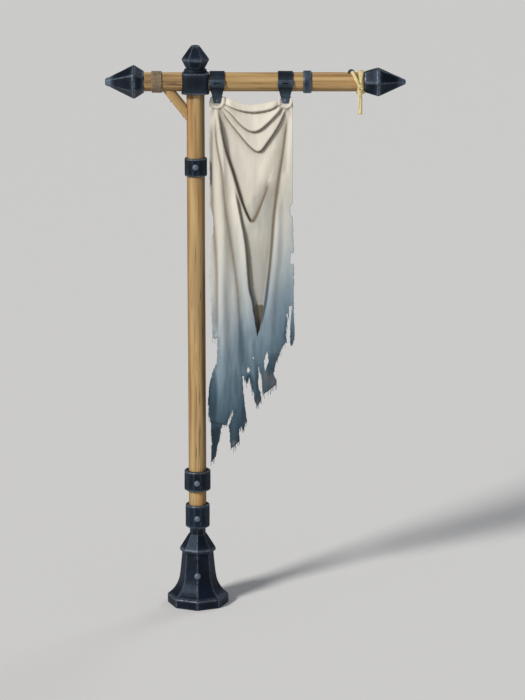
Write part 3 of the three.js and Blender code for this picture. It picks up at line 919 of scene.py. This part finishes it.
class BANNER_OT_timber(bpy.types.Operator):
    """Makes the pole, the crossbar and the brace"""

    bl_idname = "banner.timber"
    bl_label = "Timber"

    def execute(self, context):
        s = context.scene.banner_wood
        pole = self.turned("pole", 2, s)
        put(pole, "stand", "wood", "pole")
        bar = self.turned("crossbar", 0, s)
        put(bar, "stand", "wood", "crossbar")
        put(self.brace(s), "stand", "wood", "brace")
        return {"FINISHED"}

    def turned(self, node, axis, s, sides=96, pitch=0.009):
        """A round timber along an axis, with weathered grain, drying cracks and a tenon at each end."""
        low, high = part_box(node)
        radius = POLE_R if axis == 2 else BAR_R
        shoulders = self.shoulders(node, axis, radius)
        stations = self.stations(low[axis], high[axis], shoulders, radius, pitch)
        angle = np.linspace(0, 2 * math.pi, sides, endpoint=False)
        verts, cracks, soot = [], [], []
        for along, r in stations:
            for a in angle:
                depth, crack = self.grain(a, along, s, node) if r > radius * 0.9 else (0, 0)
                across = ((r - depth) * math.cos(a), (r - depth) * math.sin(a))
                if axis == 2:
                    verts.append((across[0], across[1], along))
                else:
                    verts.append((along, across[0], BAR_Z + across[1]))
                cracks.append(crack)
                # Painted shade share: most on the pole's right flank, less on its left flank, and along the
                # crossbar's underside.
                sheltered = math.cos(a) if axis == 2 else -math.sin(a)
                side_shade = 0.85 * smoothstep(0.3, 1.0, sheltered)
                if axis == 2:
                    side_shade += 0.6 * smoothstep(0.4, 1.0, -sheltered)
                soot.append(side_shade)
        rows = len(stations)
        faces = []
        for i in range(rows - 1):
            for j in range(sides):
                k = (j + 1) % sides
                faces.append((i * sides + j, i * sides + k, (i + 1) * sides + k, (i + 1) * sides + j))
        faces.append(tuple(reversed(range(sides))))
        faces.append(tuple((rows - 1) * sides + j for j in range(sides)))
        piece = mesh_piece(f"{node}_timber", verts, faces, bpy.data.materials[f"{node}_wood"])
        point_values(piece, "crack", cracks)
        point_values(piece, "soot", soot)
        self.outward(piece)
        return piece

    def outward(self, piece):
        bm = bmesh.new()
        bm.from_mesh(piece.data)
        bmesh.ops.recalc_face_normals(bm, faces=bm.faces)
        for face in bm.faces:
            if len(face.verts) > 4:
                face.smooth = False
        bm.to_mesh(piece.data)
        bm.free()

    def shoulders(self, node, axis, radius):
        """Where the full radius begins and ends, from the node's own corners."""
        coords = np.array([v.co for v in frame["nodes"][node].data.vertices])
        across = [i for i in range(3) if i != axis]
        centre = np.array([0, 0, 0 if axis == 2 else BAR_Z])
        far = np.linalg.norm(coords[:, across] - centre[across], axis=1)
        full = coords[far > radius * 0.98, axis]
        return float(full.min()), float(full.max())

    def stations(self, low, high, shoulders, radius, pitch):
        first, last = shoulders
        tenon = 0.024
        edge = 0.0015
        rows = [(low, tenon), (first, tenon), (first, radius - edge), (first + edge, radius)]
        count = int((last - first) / pitch)
        rows += [(first + (last - first) * i / count, radius) for i in range(1, count)]
        rows += [(last - edge, radius), (last, radius - edge), (last, tenon - 0.004), (high, tenon - 0.004)]
        return rows

    def grain(self, angle, along, s, node):
        """(depth below the round, crack share) at an angle and a place along the timber."""
        x, y = math.cos(angle), math.sin(angle)
        offset = 7.0 if node == "pole" else 31.0
        fine = noise.noise(Vector((x * 9, y * 9, along * 2.2 + offset)))
        wide = noise.noise(Vector((x * 2.5, y * 2.5, along * 1.4 - offset)))
        depth = s.groove * (0.5 - 0.5 * fine) + 0.0009 * (0.5 + 0.5 * wide)
        line = noise.noise(Vector((x * 3.1, y * 3.1, along * 0.9 + offset * 2)))
        where = noise.noise(Vector((x * 1.3, y * 1.3, along * 2.6 + offset * 3)))
        crack = max(0.0, 1 - abs(line) / 0.03) * max(0.0, min(1.0, (where - 0.12) * 6))
        return depth + s.crack * crack, crack

    def brace(self, s):
        bm = clean_copy("brace")
        refine(bm, 0.008)
        bm.normal_update()
        lean = Vector((-math.sin(BRACE_LEAN), 0, math.cos(BRACE_LEAN)))
        for v in bm.verts:
            along = v.co.dot(lean)
            across = v.co - lean * along
            depth = s.groove * (0.5 + 0.5 * noise.noise(across * 190 + lean * along * 12))
            v.co -= v.normal * depth * 0.7
        mesh = bpy.data.meshes.new("brace_timber")
        bm.to_mesh(mesh)
        bm.free()
        mesh.polygons.foreach_set("use_smooth", [True] * len(mesh.polygons))
        mesh.set_sharp_from_angle(angle=math.radians(40))
        mesh.materials.append(bpy.data.materials["brace_wood"])
        piece = bpy.data.objects.new("brace_timber", mesh)
        bpy.context.scene.collection.objects.link(piece)
        return piece


def tube(name, path, radius, material, lobes=3, twist=0.0, closed=False, sides=18, taper=None, flat=1.0):
    """A cord along a path, its strands shown by a lobed section that turns as it goes."""
    points = [Vector(p) for p in path]
    count = len(points)
    verts, faces, uvs, grooves = [], [], [], []
    side = Vector((0, 1, 0))
    middle = sum(points, Vector()) / count
    run = 0.0
    for i, p in enumerate(points):
        ahead = points[(i + 1) % count] if closed or i < count - 1 else p
        behind = points[i - 1] if closed or i > 0 else p
        tangent = (ahead - behind).normalized()
        if flat < 1:
            side = p - middle
        side = (side - tangent * side.dot(tangent)).normalized()
        up = tangent.cross(side)
        if i:
            run += (p - points[i - 1]).length
        for j in range(sides):
            a = 2 * math.pi * j / sides
            phase = abs(math.sin(lobes * (a - twist * run) / 2)) if lobes else 1.0
            scale = (taper(i / (count - 1)) if taper else 1.0) * (0.84 + 0.16 * phase)
            verts.append(p + (side * math.cos(a) * flat + up * math.sin(a)) * radius * scale)
            uvs.append((run, j / sides + twist * run / (2 * math.pi)))
            grooves.append(max(0.0, 1 - phase / 0.35) if lobes else 0.0)
    rings = count if closed else count - 1
    for i in range(rings):
        for j in range(sides):
            k, n = (j + 1) % sides, (i + 1) % count
            faces.append((i * sides + j, i * sides + k, n * sides + k, n * sides + j))
    if not closed:
        faces.append(tuple(reversed(range(sides))))
        faces.append(tuple((count - 1) * sides + j for j in range(sides)))
    piece = mesh_piece(name, verts, faces, material)
    layer = piece.data.uv_layers.new(name="UVMap")
    for loop in piece.data.loops:
        layer.data[loop.index].uv = uvs[loop.vertex_index]
    point_values(piece, "groove", grooves)
    bm = bmesh.new()
    bm.from_mesh(piece.data)
    bmesh.ops.recalc_face_normals(bm, faces=bm.faces)
    bm.to_mesh(piece.data)
    bm.free()
    return piece


class BANNER_OT_cords(bpy.types.Operator):
    """Winds the lashing and the tie cord, and hangs the tie cord's end"""

    bl_idname = "banner.cords"
    bl_label = "Cords"

    def execute(self, context):
        s = context.scene.banner_cord
        self.staple()
        self.lashing()
        self.tail()
        self.loops(s)
        return {"FINISHED"}

    def staple(self):
        low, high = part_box("tie_staple")
        middle = (low.x + high.x) / 2 + 0.002
        half = (high.x - low.x) / 2 - 0.003
        path = []
        for k in range(29):
            a = math.pi * k / 28
            across = -half * math.cos(a) * (1 + 0.22 * math.sin(a) ** 2)
            path.append((middle + across, 0.0, BAR_Z + BAR_R - 0.008 + 0.0175 * math.sin(a) ** 0.6))
        piece = tube("tie_staple_forged", path, 0.0042, bpy.data.materials["blackened_iron"], 0, sides=20)
        for v in piece.data.vertices:
            v.co.y = v.co.y * 2.6 - 0.008
        point_values(piece, "rub", [2.4] * len(piece.data.vertices))
        put(piece, "stand", "iron", "tie_staple")

    def lashing(self):
        low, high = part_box("brace_lashing")
        radius = 0.0024
        turns = 9
        steps = 40 * turns
        path = []
        for i in range(steps + 1):
            share = i / steps
            a = 2 * math.pi * turns * share
            r = BAR_R + radius + 0.0004 + 0.0006 * noise.noise(Vector((a * 1.3, 3.1, 0)))
            sway = 0.0007 * noise.noise(Vector((a, 0, 9)))
            x = low.x + radius + (high.x - low.x - 2 * radius) * share + sway
            path.append((x, r * math.cos(a), BAR_Z + r * math.sin(a)))
        hemp = bpy.data.materials["hemp_cord"]
        piece = tube("brace_lashing_cord", path, radius * 1.12, hemp, 2, 260, sides=12)
        put(piece, "stand", "lashing", "brace_lashing")

    def tail(self):
        route = [
            (0.708, -0.060, 2.318), (0.708, -0.061, 2.290),
            (0.709, -0.060, 2.255), (0.708, -0.060, 2.214),
        ]
        path = smooth_path(route, 30)
        radius = 0.0090

        def flare(share):
            return 0.97 + 0.16 * max(0.0, (share - 0.86) / 0.14)

        straw = bpy.data.materials["straw_cord"]
        piece = tube("tie_cord_end", path, radius, straw, 2, 10, sides=24, taper=flare)
        put(piece, "stand", "cord", "tie_cord_tail")
        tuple(route[0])

    def loops(self, s):
        """Three flat turns round the bar, two of them crossing at its front, and the knot below them."""
        radius = s.diameter / 2
        straw = bpy.data.materials["straw_cord"]
        pieces = []
        turns = ((0.674, 0.7245, 0.0055), (0.7175, 0.7000, 0.0), (0.708, 0.7165, 0.0))
        for i, (top, bottom, lift) in enumerate(turns):
            path = []
            for k in range(96):
                a = 2 * math.pi * k / 96
                rise = math.sin(a)
                over = lift * max(0.0, -math.cos(a)) ** 2
                r = BAR_R + radius * 0.62 + over
                x = (top + bottom) / 2 + (top - bottom) / 2 * rise
                path.append((x, r * math.cos(a), BAR_Z + r * rise))
            pieces.append(tube(f"tie_loop_{i}", path, radius, straw, 3, 9, closed=True, flat=0.62))
        knot = []
        for k in range(60):
            a = 2 * math.pi * k / 60
            x = 0.7095 + 0.0075 * math.sin(2 * a)
            y = -0.0575 - 0.004 * math.cos(3 * a)
            z = 2.3280 + 0.0075 * math.cos(a)
            knot.append((x, y, z))
        pieces.append(tube("tie_knot", knot, radius * 0.72, straw, 3, 12, closed=True))
        wrap = join(pieces, "tie_cord_loops")
        put(wrap, "stand", "cord", "tie_cord_wrap")


def smooth_path(points, count):
    """A Catmull-Rom curve through the points, in count even steps of its own parameter."""
    p = [Vector(q) for q in points]
    p = [p[0] * 2 - p[1], *p, p[-1] * 2 - p[-2]]
    made = []
    for i in range(count + 1):
        t = i / count * (len(p) - 3)
        k = min(int(t), len(p) - 4)
        u = t - k
        a, b, c, d = p[k:k + 4]
        slope = c - a
        bend = 2 * a - 5 * b + 4 * c - d
        turn = 3 * b - a - 3 * c + d
        made.append(0.5 * (2 * b + slope * u + bend * u**2 + turn * u**3))
    return made


def join(pieces, name):
    with bpy.context.temp_override(
        active_object=pieces[0], selected_editable_objects=pieces, selected_objects=pieces, object=pieces[0]
    ):
        bpy.ops.object.join()
    pieces[0].name = name
    pieces[0].data.name = name
    return pieces[0]


# The banner's left edge stands a little outside its soft solid, and its ears reach above it.
SELVAGE = 3.2
EARS = 50
# The height, in millimetres, that the cloth's rolls round the straps are centred on.
RIVETS = 2263


def hung(points):
    """Points on the cloth, given in millimetres from its left edge and down from its ears."""
    low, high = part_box("banner_cloth")
    left = low.x / MM - SELVAGE
    top = high.z / MM + EARS
    return [(left + across, top - down) for across, down in points]


TOP_EDGE = [
    (10, 25), (15, 5), (25, 0), (30, 15), (55, 15), (60, 0), (80, 5), (115, 15), (150, 30), (190, 40),
    (225, 35), (255, 30), (290, 20), (310, 15), (320, 0), (325, 15), (350, 15), (355, 0), (365, 5),
]
RIGHT_EDGE = [
    (370, 35), (370, 470), (360, 480), (360, 515), (370, 530), (375, 685), (360, 690), (360, 735),
    (375, 740), (375, 935), (380, 1055), (370, 1110), (360, 1095), (360, 1060), (365, 965), (370, 925),
    (355, 925), (355, 960), (340, 1055), (345, 1080),
]
RIGHT_TAIL = [(320, 1125), (295, 1190), (285, 1235), (300, 1260), (300, 1280), (245, 1325), (240, 1310)]
MIDDLE_TAIL = [
    (235, 1245), (225, 1200), (220, 1195), (220, 1285), (235, 1345), (215, 1385), (205, 1355),
    (200, 1315), (190, 1285), (180, 1245), (170, 1280), (155, 1240), (148, 1245),
]
FORKED_TAIL = [
    (155, 1325), (160, 1380), (170, 1450), (160, 1465), (155, 1490), (145, 1470), (135, 1485),
    (135, 1540), (115, 1560), (100, 1575), (95, 1520), (90, 1470), (110, 1410), (105, 1395), (80, 1465),
]
LEFT_TAIL = [
    (60, 1465), (45, 1540), (30, 1610), (10, 1638), (15, 1540), (10, 1445), (0, 1410), (0, 1345), (5, 1280),
]
LEFT_EDGE = [
    (20, 1225), (40, 1175), (40, 1070), (30, 1075), (20, 1070), (15, 955), (10, 780), (15, 625),
    (25, 595), (25, 530), (10, 485),
]
OUTLINE = hung(TOP_EDGE + RIGHT_EDGE + RIGHT_TAIL + MIDDLE_TAIL + FORKED_TAIL + LEFT_TAIL + LEFT_EDGE)
HOLES = [hung(hole) for hole in (
    [(260, 1125), (245, 1175), (250, 1220), (265, 1180)],
    [(175, 1200), (170, 1215), (175, 1230), (185, 1215)],
    [(200, 1152), (194, 1160), (201, 1165)],
    [(195, 925), (205, 935), (210, 920), (220, 930), (235, 925), (245, 930), (235, 995), (218, 1065)],
    [(343, 965), (348, 995), (352, 955)],
)]
# Each fold is a line of points, then which side of it is in front, how far that side lifts and the
# other tucks under, how far each of them reaches, and how dark its painted crease shade is.
FOLDS = [
    ([(75, 35), (135, 60), (195, 70), (265, 60), (320, 35)], 1, 12, 6, 22, 16, 0.75),
    ([(65, 45), (105, 80), (135, 115), (170, 145), (200, 155), (230, 145), (275, 105), (330, 45)],
     1, 11, 7, 34, 24, 0.85),
    ([(60, 55), (90, 105), (125, 150), (185, 220), (225, 242), (265, 195), (310, 125), (340, 55)],
     1, 10, 7, 44, 34, 0.9),
    ([(45, 55), (75, 220), (110, 335), (145, 455), (175, 530), (193, 553), (212, 525), (240, 455),
      (275, 355)],
     -1, 13, 10, 34, 44, 1.0),
    ([(350, 55), (330, 225), (305, 400), (290, 520), (280, 655), (265, 810), (250, 925), (219, 1055)],
     1, 14, 11, 90, 44, 1.0),
    ([(120, 410), (145, 540), (165, 655), (180, 840), (195, 905), (217, 1055)], -1, 11, 12, 28, 60, 0.75),
    ([(35, 50), (40, 195), (65, 335), (80, 480), (100, 615), (130, 840), (140, 1000), (150, 1155),
      (150, 1235)],
     1, 12, 8, 24, 30, 0.8),
    ([(20, 85), (20, 325), (25, 525), (35, 655), (40, 780), (40, 900), (40, 1075)], 1, 10, 8, 30, 16, 0.7),
    ([(10, 1445), (40, 1455), (70, 1465)], 1, 5, 4, 30, 20, 0.8),
]
# Each soft ridge or hollow is a line of points, then its height and half width.
RIDGES = [
    ([(45, 70), (60, 370), (70, 655), (65, 900), (75, 1170), (80, 1395)], 11, 22),
    ([(355, 70), (345, 200), (340, 340)], -4, 12),
    ([(310, 405), (300, 685), (280, 885), (270, 1155)], 7, 18),
    ([(190, 1070), (200, 1205), (210, 1355)], 8, 12),
    ([(110, 1385), (120, 1485), (115, 1555)], 7, 13),
    ([(110, 225), (155, 385), (190, 485)], 4, 22),
    ([(280, 215), (250, 335), (210, 455)], 4, 26),
]
SHELTERED = hung([
    (195, 555), (140, 470), (165, 655), (180, 840), (195, 905), (215, 1045), (250, 925), (265, 810),
    (280, 655), (290, 520), (270, 385), (240, 455), (210, 530),
])
# Soft patches: across, down, half width, half height, strength.
# These patches darken the dye: deeper dye in places, and painted shade where the cloth folds back behind.
SHADE_AND_DYE_PATCHES = [
    (20, 1325, 24, 150, 0.9), (35, 1555, 40, 95, 1.0), (145, 1105, 16, 150, 0.5), (290, 1195, 40, 70, 0.5),
    (180, 1285, 26, 60, 0.7), (350, 1045, 20, 90, 0.5), (225, 830, 46, 130, 0.5),
]
DUST = [
    (270, 1270, 40, 60, 0.9), (215, 1370, 20, 36, 1.0), (115, 1560, 18, 30, 1.0), (170, 1465, 20, 26, 0.8),
    (300, 1165, 26, 40, 0.5),
]


# The way the cloth's lit side faces, across and up.
LIGHT = (-0.75, 0.66)


def polyline(points, step=12.0):
    """The points joined by a smooth curve, as an array of even steps."""
    curve = smooth_path([(x, z, 0) for x, z in points], 12 * (len(points) - 1))
    fine = np.array([(p.x, p.y) for p in curve])
    run = np.concatenate([[0], np.cumsum(np.linalg.norm(np.diff(fine, axis=0), axis=1))])
    even = np.linspace(0, run[-1], max(2, int(run[-1] / step)))
    return np.stack([np.interp(even, run, fine[:, 0]), np.interp(even, run, fine[:, 1])], axis=1)


def from_line(points, line, blend=14.0):
    """(signed distance, share of the way along, how far the left side leans to the light) of points."""
    count = len(line) - 1
    distances = np.empty((count, len(points)))
    sides = np.empty((count, len(points)))
    shares = np.empty((count, len(points)))
    leans = np.empty(count)
    for i in range(count):
        a, d = line[i], line[i + 1] - line[i]
        t = np.clip(((points - a) @ d) / (d @ d), 0, 1)
        off = points - (a + t[:, None] * d)
        distances[i] = np.linalg.norm(off, axis=1)
        sides[i] = np.sign(d[0] * off[:, 1] - d[1] * off[:, 0])
        shares[i] = (i + t) / count
        leans[i] = (-d[1] * LIGHT[0] + d[0] * LIGHT[1]) / np.linalg.norm(d)
    nearest = distances.argmin(0)
    column = np.arange(len(points))
    best = distances[nearest, column]
    weight = np.exp(-(distances - best) / blend)
    weight /= weight.sum(0)
    return best * sides[nearest, column], (weight * shares).sum(0), leans[nearest]


def inside(points, polygon):
    """Whether each point is inside a polygon."""
    x, z = points[:, 0], points[:, 1]
    found = np.zeros(len(points), bool)
    for (x0, z0), (x1, z1) in zip(polygon, polygon[1:] + polygon[:1]):
        crosses = (z0 > z) != (z1 > z)
        at = (x1 - x0) * (z - z0) / ((z1 - z0) or 1e-9) + x0
        found ^= crosses & (x < at)
    return found


class BANNER_OT_cloth(bpy.types.Operator):
    """Makes the torn banner cloth with its folds"""

    bl_idname = "banner.cloth"
    bl_label = "Cloth"

    def execute(self, context):
        s = context.scene.banner_cloth
        cloth = self.sheet()
        lining = self.lining()
        threads = self.threads()
        for piece in (cloth, lining, threads):
            if piece is not threads:
                solid = piece.modifiers.new("thickness", "SOLIDIFY")
                solid.thickness = s.thickness
                solid.offset = 0
                apply_modifiers(piece)
            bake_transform(piece)
        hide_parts("banner_cloth")
        return {"FINISHED"}

    def sheet(self, pitch=(2.8, 4.4)):
        outline = np.array(OUTLINE, float)
        low, high = outline.min(0), outline.max(0)
        xs = np.arange(low[0], high[0] + pitch[0], pitch[0])
        zs = np.arange(low[1], high[1] + pitch[1], pitch[1])
        grid = np.array([(x, z) for z in zs for x in xs])
        count = len(xs)
        cells = [(r * count + c) for r in range(len(zs) - 1) for c in range(count - 1)]
        centres = grid[cells] + np.array(pitch) / 2
        ragged = self.ragged(OUTLINE)
        keep = inside(centres, ragged)
        holes = [self.ragged(hole) for hole in HOLES]
        for hole in holes:
            keep &= ~inside(centres, hole)
        kept = [c for c, k in zip(cells, keep) if k]
        faces = [(c, c + 1, c + count + 1, c + count) for c in kept]
        used = sorted({v for f in faces for v in f})
        index = {v: i for i, v in enumerate(used)}
        faces = [tuple(index[v] for v in f) for f in faces]
        points = grid[used]
        points = self.snap(points, faces, [ragged, *holes], max(pitch))
        depth, crease, shade, inner = self.folds(points)
        torn = self.torn(points)
        verts = [(x * MM, -d * MM, z * MM) for (x, z), d in zip(points, depth)]
        piece = mesh_piece("banner_sheet", verts, faces, bpy.data.materials["banner_weave"])
        point_values(piece, "crease", crease)
        point_values(piece, "inner", inner)
        point_values(piece, "shade", shade)
        point_values(piece, "torn", torn)
        point_values(piece, "deep", self.patches(points, SHADE_AND_DYE_PATCHES))
        point_values(piece, "dust", self.patches(points, DUST))
        return piece

    def ragged(self, polygon):
        """The torn outline with small uneven nicks between its points, the same each time."""
        made = []
        for i, (a, b) in enumerate(zip(polygon, polygon[1:] + polygon[:1])):
            a, b = np.array(a, float), np.array(b, float)
            length = np.linalg.norm(b - a)
            parts = max(1, int(length / 11))
            out = np.array([b[1] - a[1], a[0] - b[0]]) / max(length, 1e-6)
            low = min(a[1], b[1])
            rough = 1.0 if low > 1850 else (2.0 if low > 1300 else 3.4)
            for k in range(parts):
                share = k / parts
                nick = noise.noise(Vector((i * 3.7 + k * 1.9, low * 0.01, 0.5))) if k else 0
                made.append(tuple(a + (b - a) * share + out * nick * rough))
        return made

    def snap(self, points, faces, polygons, reach):
        """Moves the sheet's edge points onto the outline that they are nearest to."""
        uses = {}
        for f in faces:
            for a, b in zip(f, f[1:] + f[:1]):
                key = (min(a, b), max(a, b))
                uses[key] = uses.get(key, 0) + 1
        edge = sorted({v for key, n in uses.items() if n == 1 for v in key})
        moved = points.copy()
        at = points[edge]
        best = np.full(len(edge), 1e9)
        target = at.copy()
        for polygon in polygons:
            ring = np.array(polygon + polygon[:1], float)
            for a, b in zip(ring, ring[1:]):
                d = b - a
                t = np.clip(((at - a) @ d) / max(d @ d, 1e-9), 0, 1)
                near = a + t[:, None] * d
                distance = np.linalg.norm(at - near, axis=1)
                closer = distance < best
                best[closer] = distance[closer]
                target[closer] = near[closer]
        pull = best < reach
        moved[np.array(edge)[pull]] = at[pull] * 0.12 + target[pull] * 0.88
        return moved

    def patches(self, points, rows):
        total = np.zeros(len(points))
        for across, down, wide, high, strength in rows:
            [(x, z)] = hung([(across, down)])
            far = np.hypot((points[:, 0] - x) / wide, (points[:, 1] - z) / high)
            total = np.maximum(total, strength * smoothstep(1.15, 0.5, far))
        return total

    def folds(self, points):
        """(depth towards the front, painted crease shade share, painted shade share, inner share) of each point.
        """
        depth = np.zeros(len(points))
        crease = np.zeros(len(points))
        shade = np.zeros(len(points))
        width = 3.4
        for line, front, lift, tuck, reach, under, dark in FOLDS:
            signed, share, lean = from_line(points, polyline(hung(line)))
            signed = signed * front
            lit = np.clip(-lean * front, 0, 1)
            fade = smoothstep(0, 0.1, share) * smoothstep(1, 0.92, share)
            side = smoothstep(-width, width, signed)
            raised = lift * np.exp(-((np.maximum(signed, 0) / reach) ** 1.5))
            sunk = -tuck * np.exp(-np.maximum(-signed, 0) / under)
            depth += fade * (side * raised + (1 - side) * sunk)
            # Painted shade: a dark line along each crease, moved and widened by how the fold faces the light, and
            # softer shade over the tucked-under side.
            swell = 0.7 + 0.9 * np.sin(math.pi * np.clip(share, 0, 1)) ** 2
            middle = -1.0 * swell + 1.6 * lit
            line_dark = np.exp(-(((signed - middle) / (3.1 * swell + 2.6 * lit)) ** 2))
            crease = np.maximum(crease, fade * np.minimum(1, line_dark * 1.2) * dark * 0.95)
            shadow = np.exp(-np.maximum(-signed, 0) / (under * 0.55))
            shade = np.maximum(shade, fade * (1 - side) * shadow * dark)
        for line, height, half in RIDGES:
            signed, share, _ = from_line(points, polyline(hung(line)))
            fade = smoothstep(0, 0.12, share) * smoothstep(1, 0.9, share)
            depth += fade * height * np.exp(-((signed / half) ** 2))
        inner = self.inner(points)
        depth -= 5 * inner
        loose = smoothstep(1500, 900, points[:, 1])
        ripples = np.array([
            (noise.noise(Vector((x / 42, z / 170, 2.0))), noise.noise(Vector((x / 16, z / 60, 8.0))))
            for x, z in points])
        depth += (2.5 + 6.0 * loose) * ripples[:, 0] + (0.6 + 1.6 * loose) * ripples[:, 1]
        depth, ring = self.clamped(points, depth)
        return np.clip(depth, -24, 24), np.maximum(crease, ring), shade, inner

    def inner(self, points):
        """The sheltered panel between the arms of the deep fold."""
        ring = np.array(SHELTERED + SHELTERED[:1], float)
        off, _, _ = from_line(points, ring)
        fading = smoothstep(1760, 1560, points[:, 1])
        return inside(points, SHELTERED) * smoothstep(0, 14, np.abs(off)) * fading

    def torn(self, points):
        """How near each point is to the torn lower edge."""
        low = np.array([p for p in self.ragged(OUTLINE) if p[1] < 1240])
        near = np.array([np.min(np.linalg.norm(low - p, axis=1)) if p[1] < 1300 else 99 for p in points])
        return smoothstep(22, 2, near)

    def clamped(self, points, depth):
        """Flattens the cloth where the straps grip it, rolls and puckers it round them, and paints shade lines
        along the rolls and between the pleats.
        """
        ring = np.zeros(len(points))
        for node in ("hanger_left_strap", "hanger_right_strap"):
            low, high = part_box(node)
            across, up = points[:, 0] - (low.x + high.x) / 2 / MM, points[:, 1]
            below = np.minimum(up - RIVETS, 0)
            near = np.hypot(across, below)
            grip = smoothstep(21, 15, np.abs(across)) * smoothstep(2236, 2250, up)
            depth = depth * smoothstep(20, 62, near)
            angle = np.arctan2(across, -below + 1e-6)
            pleats = np.cos(angle * 9) * np.exp(-np.maximum(near - 36, 0) / 26) * smoothstep(32, 40, near)
            depth += 3.0 * pleats * smoothstep(2262, 2240, up)
            roll = np.exp(-(((near - 27) / 7.5) ** 2))
            depth += 6.5 * roll
            depth *= 1 - grip
            # Painted shade lines round each roll and in the pleats' hollows.
            outer = np.exp(-(((near - 35.5) / 2.6) ** 2)) * 0.5
            inside_roll = np.exp(-(((near - 19) / 3.0) ** 2)) * 0.35 * smoothstep(2250, 2240, up)
            ring = np.maximum(ring, np.maximum(outer * 1.3, inside_roll))
            spokes = np.clip(-pleats, 0, 1) * 0.5 * smoothstep(2258, 2240, up)
            ring = np.maximum(ring, spokes)
        return depth, ring

    def lining(self):
        """The sheltered layer seen through the torn end of the inner panel, coloured dark brown all over as
        painted shade.
        """
        columns, rows = 26, 34
        top, length = 1412, 218
        points = []
        for i in range(rows + 1):
            z = top - length * i / rows
            half = 40 - 26 * i / rows
            middle = 270 - 3 * i / rows
            for j in range(columns + 1):
                points.append((middle - half + 2 * half * j / columns, z))
        points = np.array(points)
        back = np.array([noise.noise(Vector((x / 14, z / 60, 1.0))) for x, z in points])
        verts = [(x * MM, (0.0215 - 0.0025 * b), z * MM) for (x, z), b in zip(points, back)]
        faces = []
        for i in range(rows):
            for j in range(columns):
                a = i * (columns + 1) + j
                faces.append((a, a + columns + 1, a + columns + 2, a + 1))
        piece = mesh_piece("banner_lining", verts, faces, bpy.data.materials["banner_weave"])
        # Painted shade: the whole layer is darkened, most to the right and towards its bottom.
        side = (points[:, 0] - 262) / 34
        dark = 0.62 + 0.3 * smoothstep(-0.4, 0.8, side) + 0.15 * smoothstep(1330, 1240, points[:, 1])
        point_values(piece, "crease", np.clip(dark + 0.15 * back, 0, 0.96))
        point_values(piece, "inner", np.full(len(points), 1.0))
        return piece

    def threads(self):
        """Loose threads that hang from the torn edges."""
        edge = np.array(self.ragged(OUTLINE))
        verts, edges = [], []
        spots = []
        for i in range(len(edge)):
            a, b = edge[i], edge[(i + 1) % len(edge)]
            steps = max(1, int(np.linalg.norm(b - a) / 4.5))
            for k in range(steps):
                spot = a + (b - a) * k / steps
                chance = noise.noise(Vector((spot[0] * 0.9, spot[1] * 0.7, 3.3)))
                bare = 0.30 if spot[1] < 1240 else 0.42
                if spot[1] < 1700 and chance > bare - 0.3:
                    spots.append(spot)
        spots = np.array(spots)
        depth = self.folds(spots)[0]
        for n, (spot, d) in enumerate(zip(spots, depth)):
            length = 7 + 34 * abs(noise.noise(Vector((n * 1.7, 0.4, 0))))
            drift = 3.5 * noise.noise(Vector((n * 2.3, 5.1, 0)))
            start = len(verts)
            for k in range(5):
                t = k / 4
                x = spot[0] + drift * t * t - 0.4 * drift * math.sin(t * 5)
                z = spot[1] + 6 - (length + 6) * t
                verts.append((x * MM, -d * MM, z * MM))
                if k:
                    edges.append((start + k - 1, start + k))
        weave = bpy.data.materials["banner_weave"]
        return thread_tree().grow("banner_threads", verts, edges, Material=weave)


def apply_modifiers(piece):
    evaluated = piece.evaluated_get(bpy.context.evaluated_depsgraph_get())
    mesh = bpy.data.meshes.new_from_object(evaluated)
    piece.modifiers.clear()
    piece.data = mesh


class BANNER_OT_finishes(bpy.types.Operator):
    """Makes the materials and gives them to the frame's own solids"""

    bl_idname = "banner.finishes"
    bl_label = "Finishes"

    def execute(self, context):
        scene = context.scene
        iron = iron_finish("blackened_iron", scene.banner_iron)
        iron_finish("rivet_iron", scene.banner_iron, 0.75)
        quarter = math.pi / 2
        wood = scene.banner_wood
        woods = {
            "pole": wood_finish("pole_wood", wood, (0, 0, 0)),
            "crossbar": wood_finish("crossbar_wood", wood, (0, quarter, 0)),
            "brace": wood_finish("brace_wood", wood, (0, BRACE_LEAN, 0)),
        }
        cloth_finish(scene.banner_cloth)
        cord = scene.banner_cord
        cord_finish("straw_cord", cord.straw[:], cord.straw_dark[:])
        cord_finish("hemp_cord", cord.hemp[:], cord.hemp_dark[:])
        slots = {row["node"]: row["material_slot"] for row in frame["record"]["subparts"]}
        for name, node in frame["nodes"].items():
            node.data.materials.clear()
            node.data.materials.append(woods.get(name, iron) if slots[name] == "wood" else iron)
        return {"FINISHED"}


class BANNER_PT_panel(bpy.types.Panel):
    """Lists the stand's pieces in the sidebar"""

    bl_idname = "BANNER_PT_panel"
    bl_label = "Banner Stand"
    bl_space_type = "VIEW_3D"
    bl_region_type = "UI"
    bl_category = "Banner Stand"

    def draw(self, context):
        for operator in OPERATORS:
            self.layout.operator(operator.bl_idname)
        for name in SETTINGS:
            box = self.layout.box()
            group = getattr(context.scene, name)
            for key in group.__annotations__:
                box.prop(group, key)


OPERATORS = (
    BANNER_OT_stage, BANNER_OT_finishes, BANNER_OT_castings, BANNER_OT_straps, BANNER_OT_rivets,
    BANNER_OT_timber, BANNER_OT_cords, BANNER_OT_cloth,
)
SETTINGS = {
    "banner_iron": IronSettings,
    "banner_wood": WoodSettings,
    "banner_cloth": ClothSettings,
    "banner_cord": CordSettings,
    "banner_stage": StageSettings,
}


def register():
    for cls in (*SETTINGS.values(), *OPERATORS, BANNER_PT_panel):
        bpy.utils.register_class(cls)
    for name, cls in SETTINGS.items():
        setattr(bpy.types.Scene, name, bpy.props.PointerProperty(type=cls))


def unregister():
    for name in SETTINGS:
        delattr(bpy.types.Scene, name)
    for cls in reversed((*SETTINGS.values(), *OPERATORS, BANNER_PT_panel)):
        bpy.utils.unregister_class(cls)


def main():
    register()
    for operator in OPERATORS:
        group, name = operator.bl_idname.split(".")
        getattr(getattr(bpy.ops, group), name)()
    boxes = {"cad": CAD_BOX, "visual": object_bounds()}
    {key: [list(corner) for corner in box] for key, box in boxes.items()}


if __name__ == "__main__":
    main()
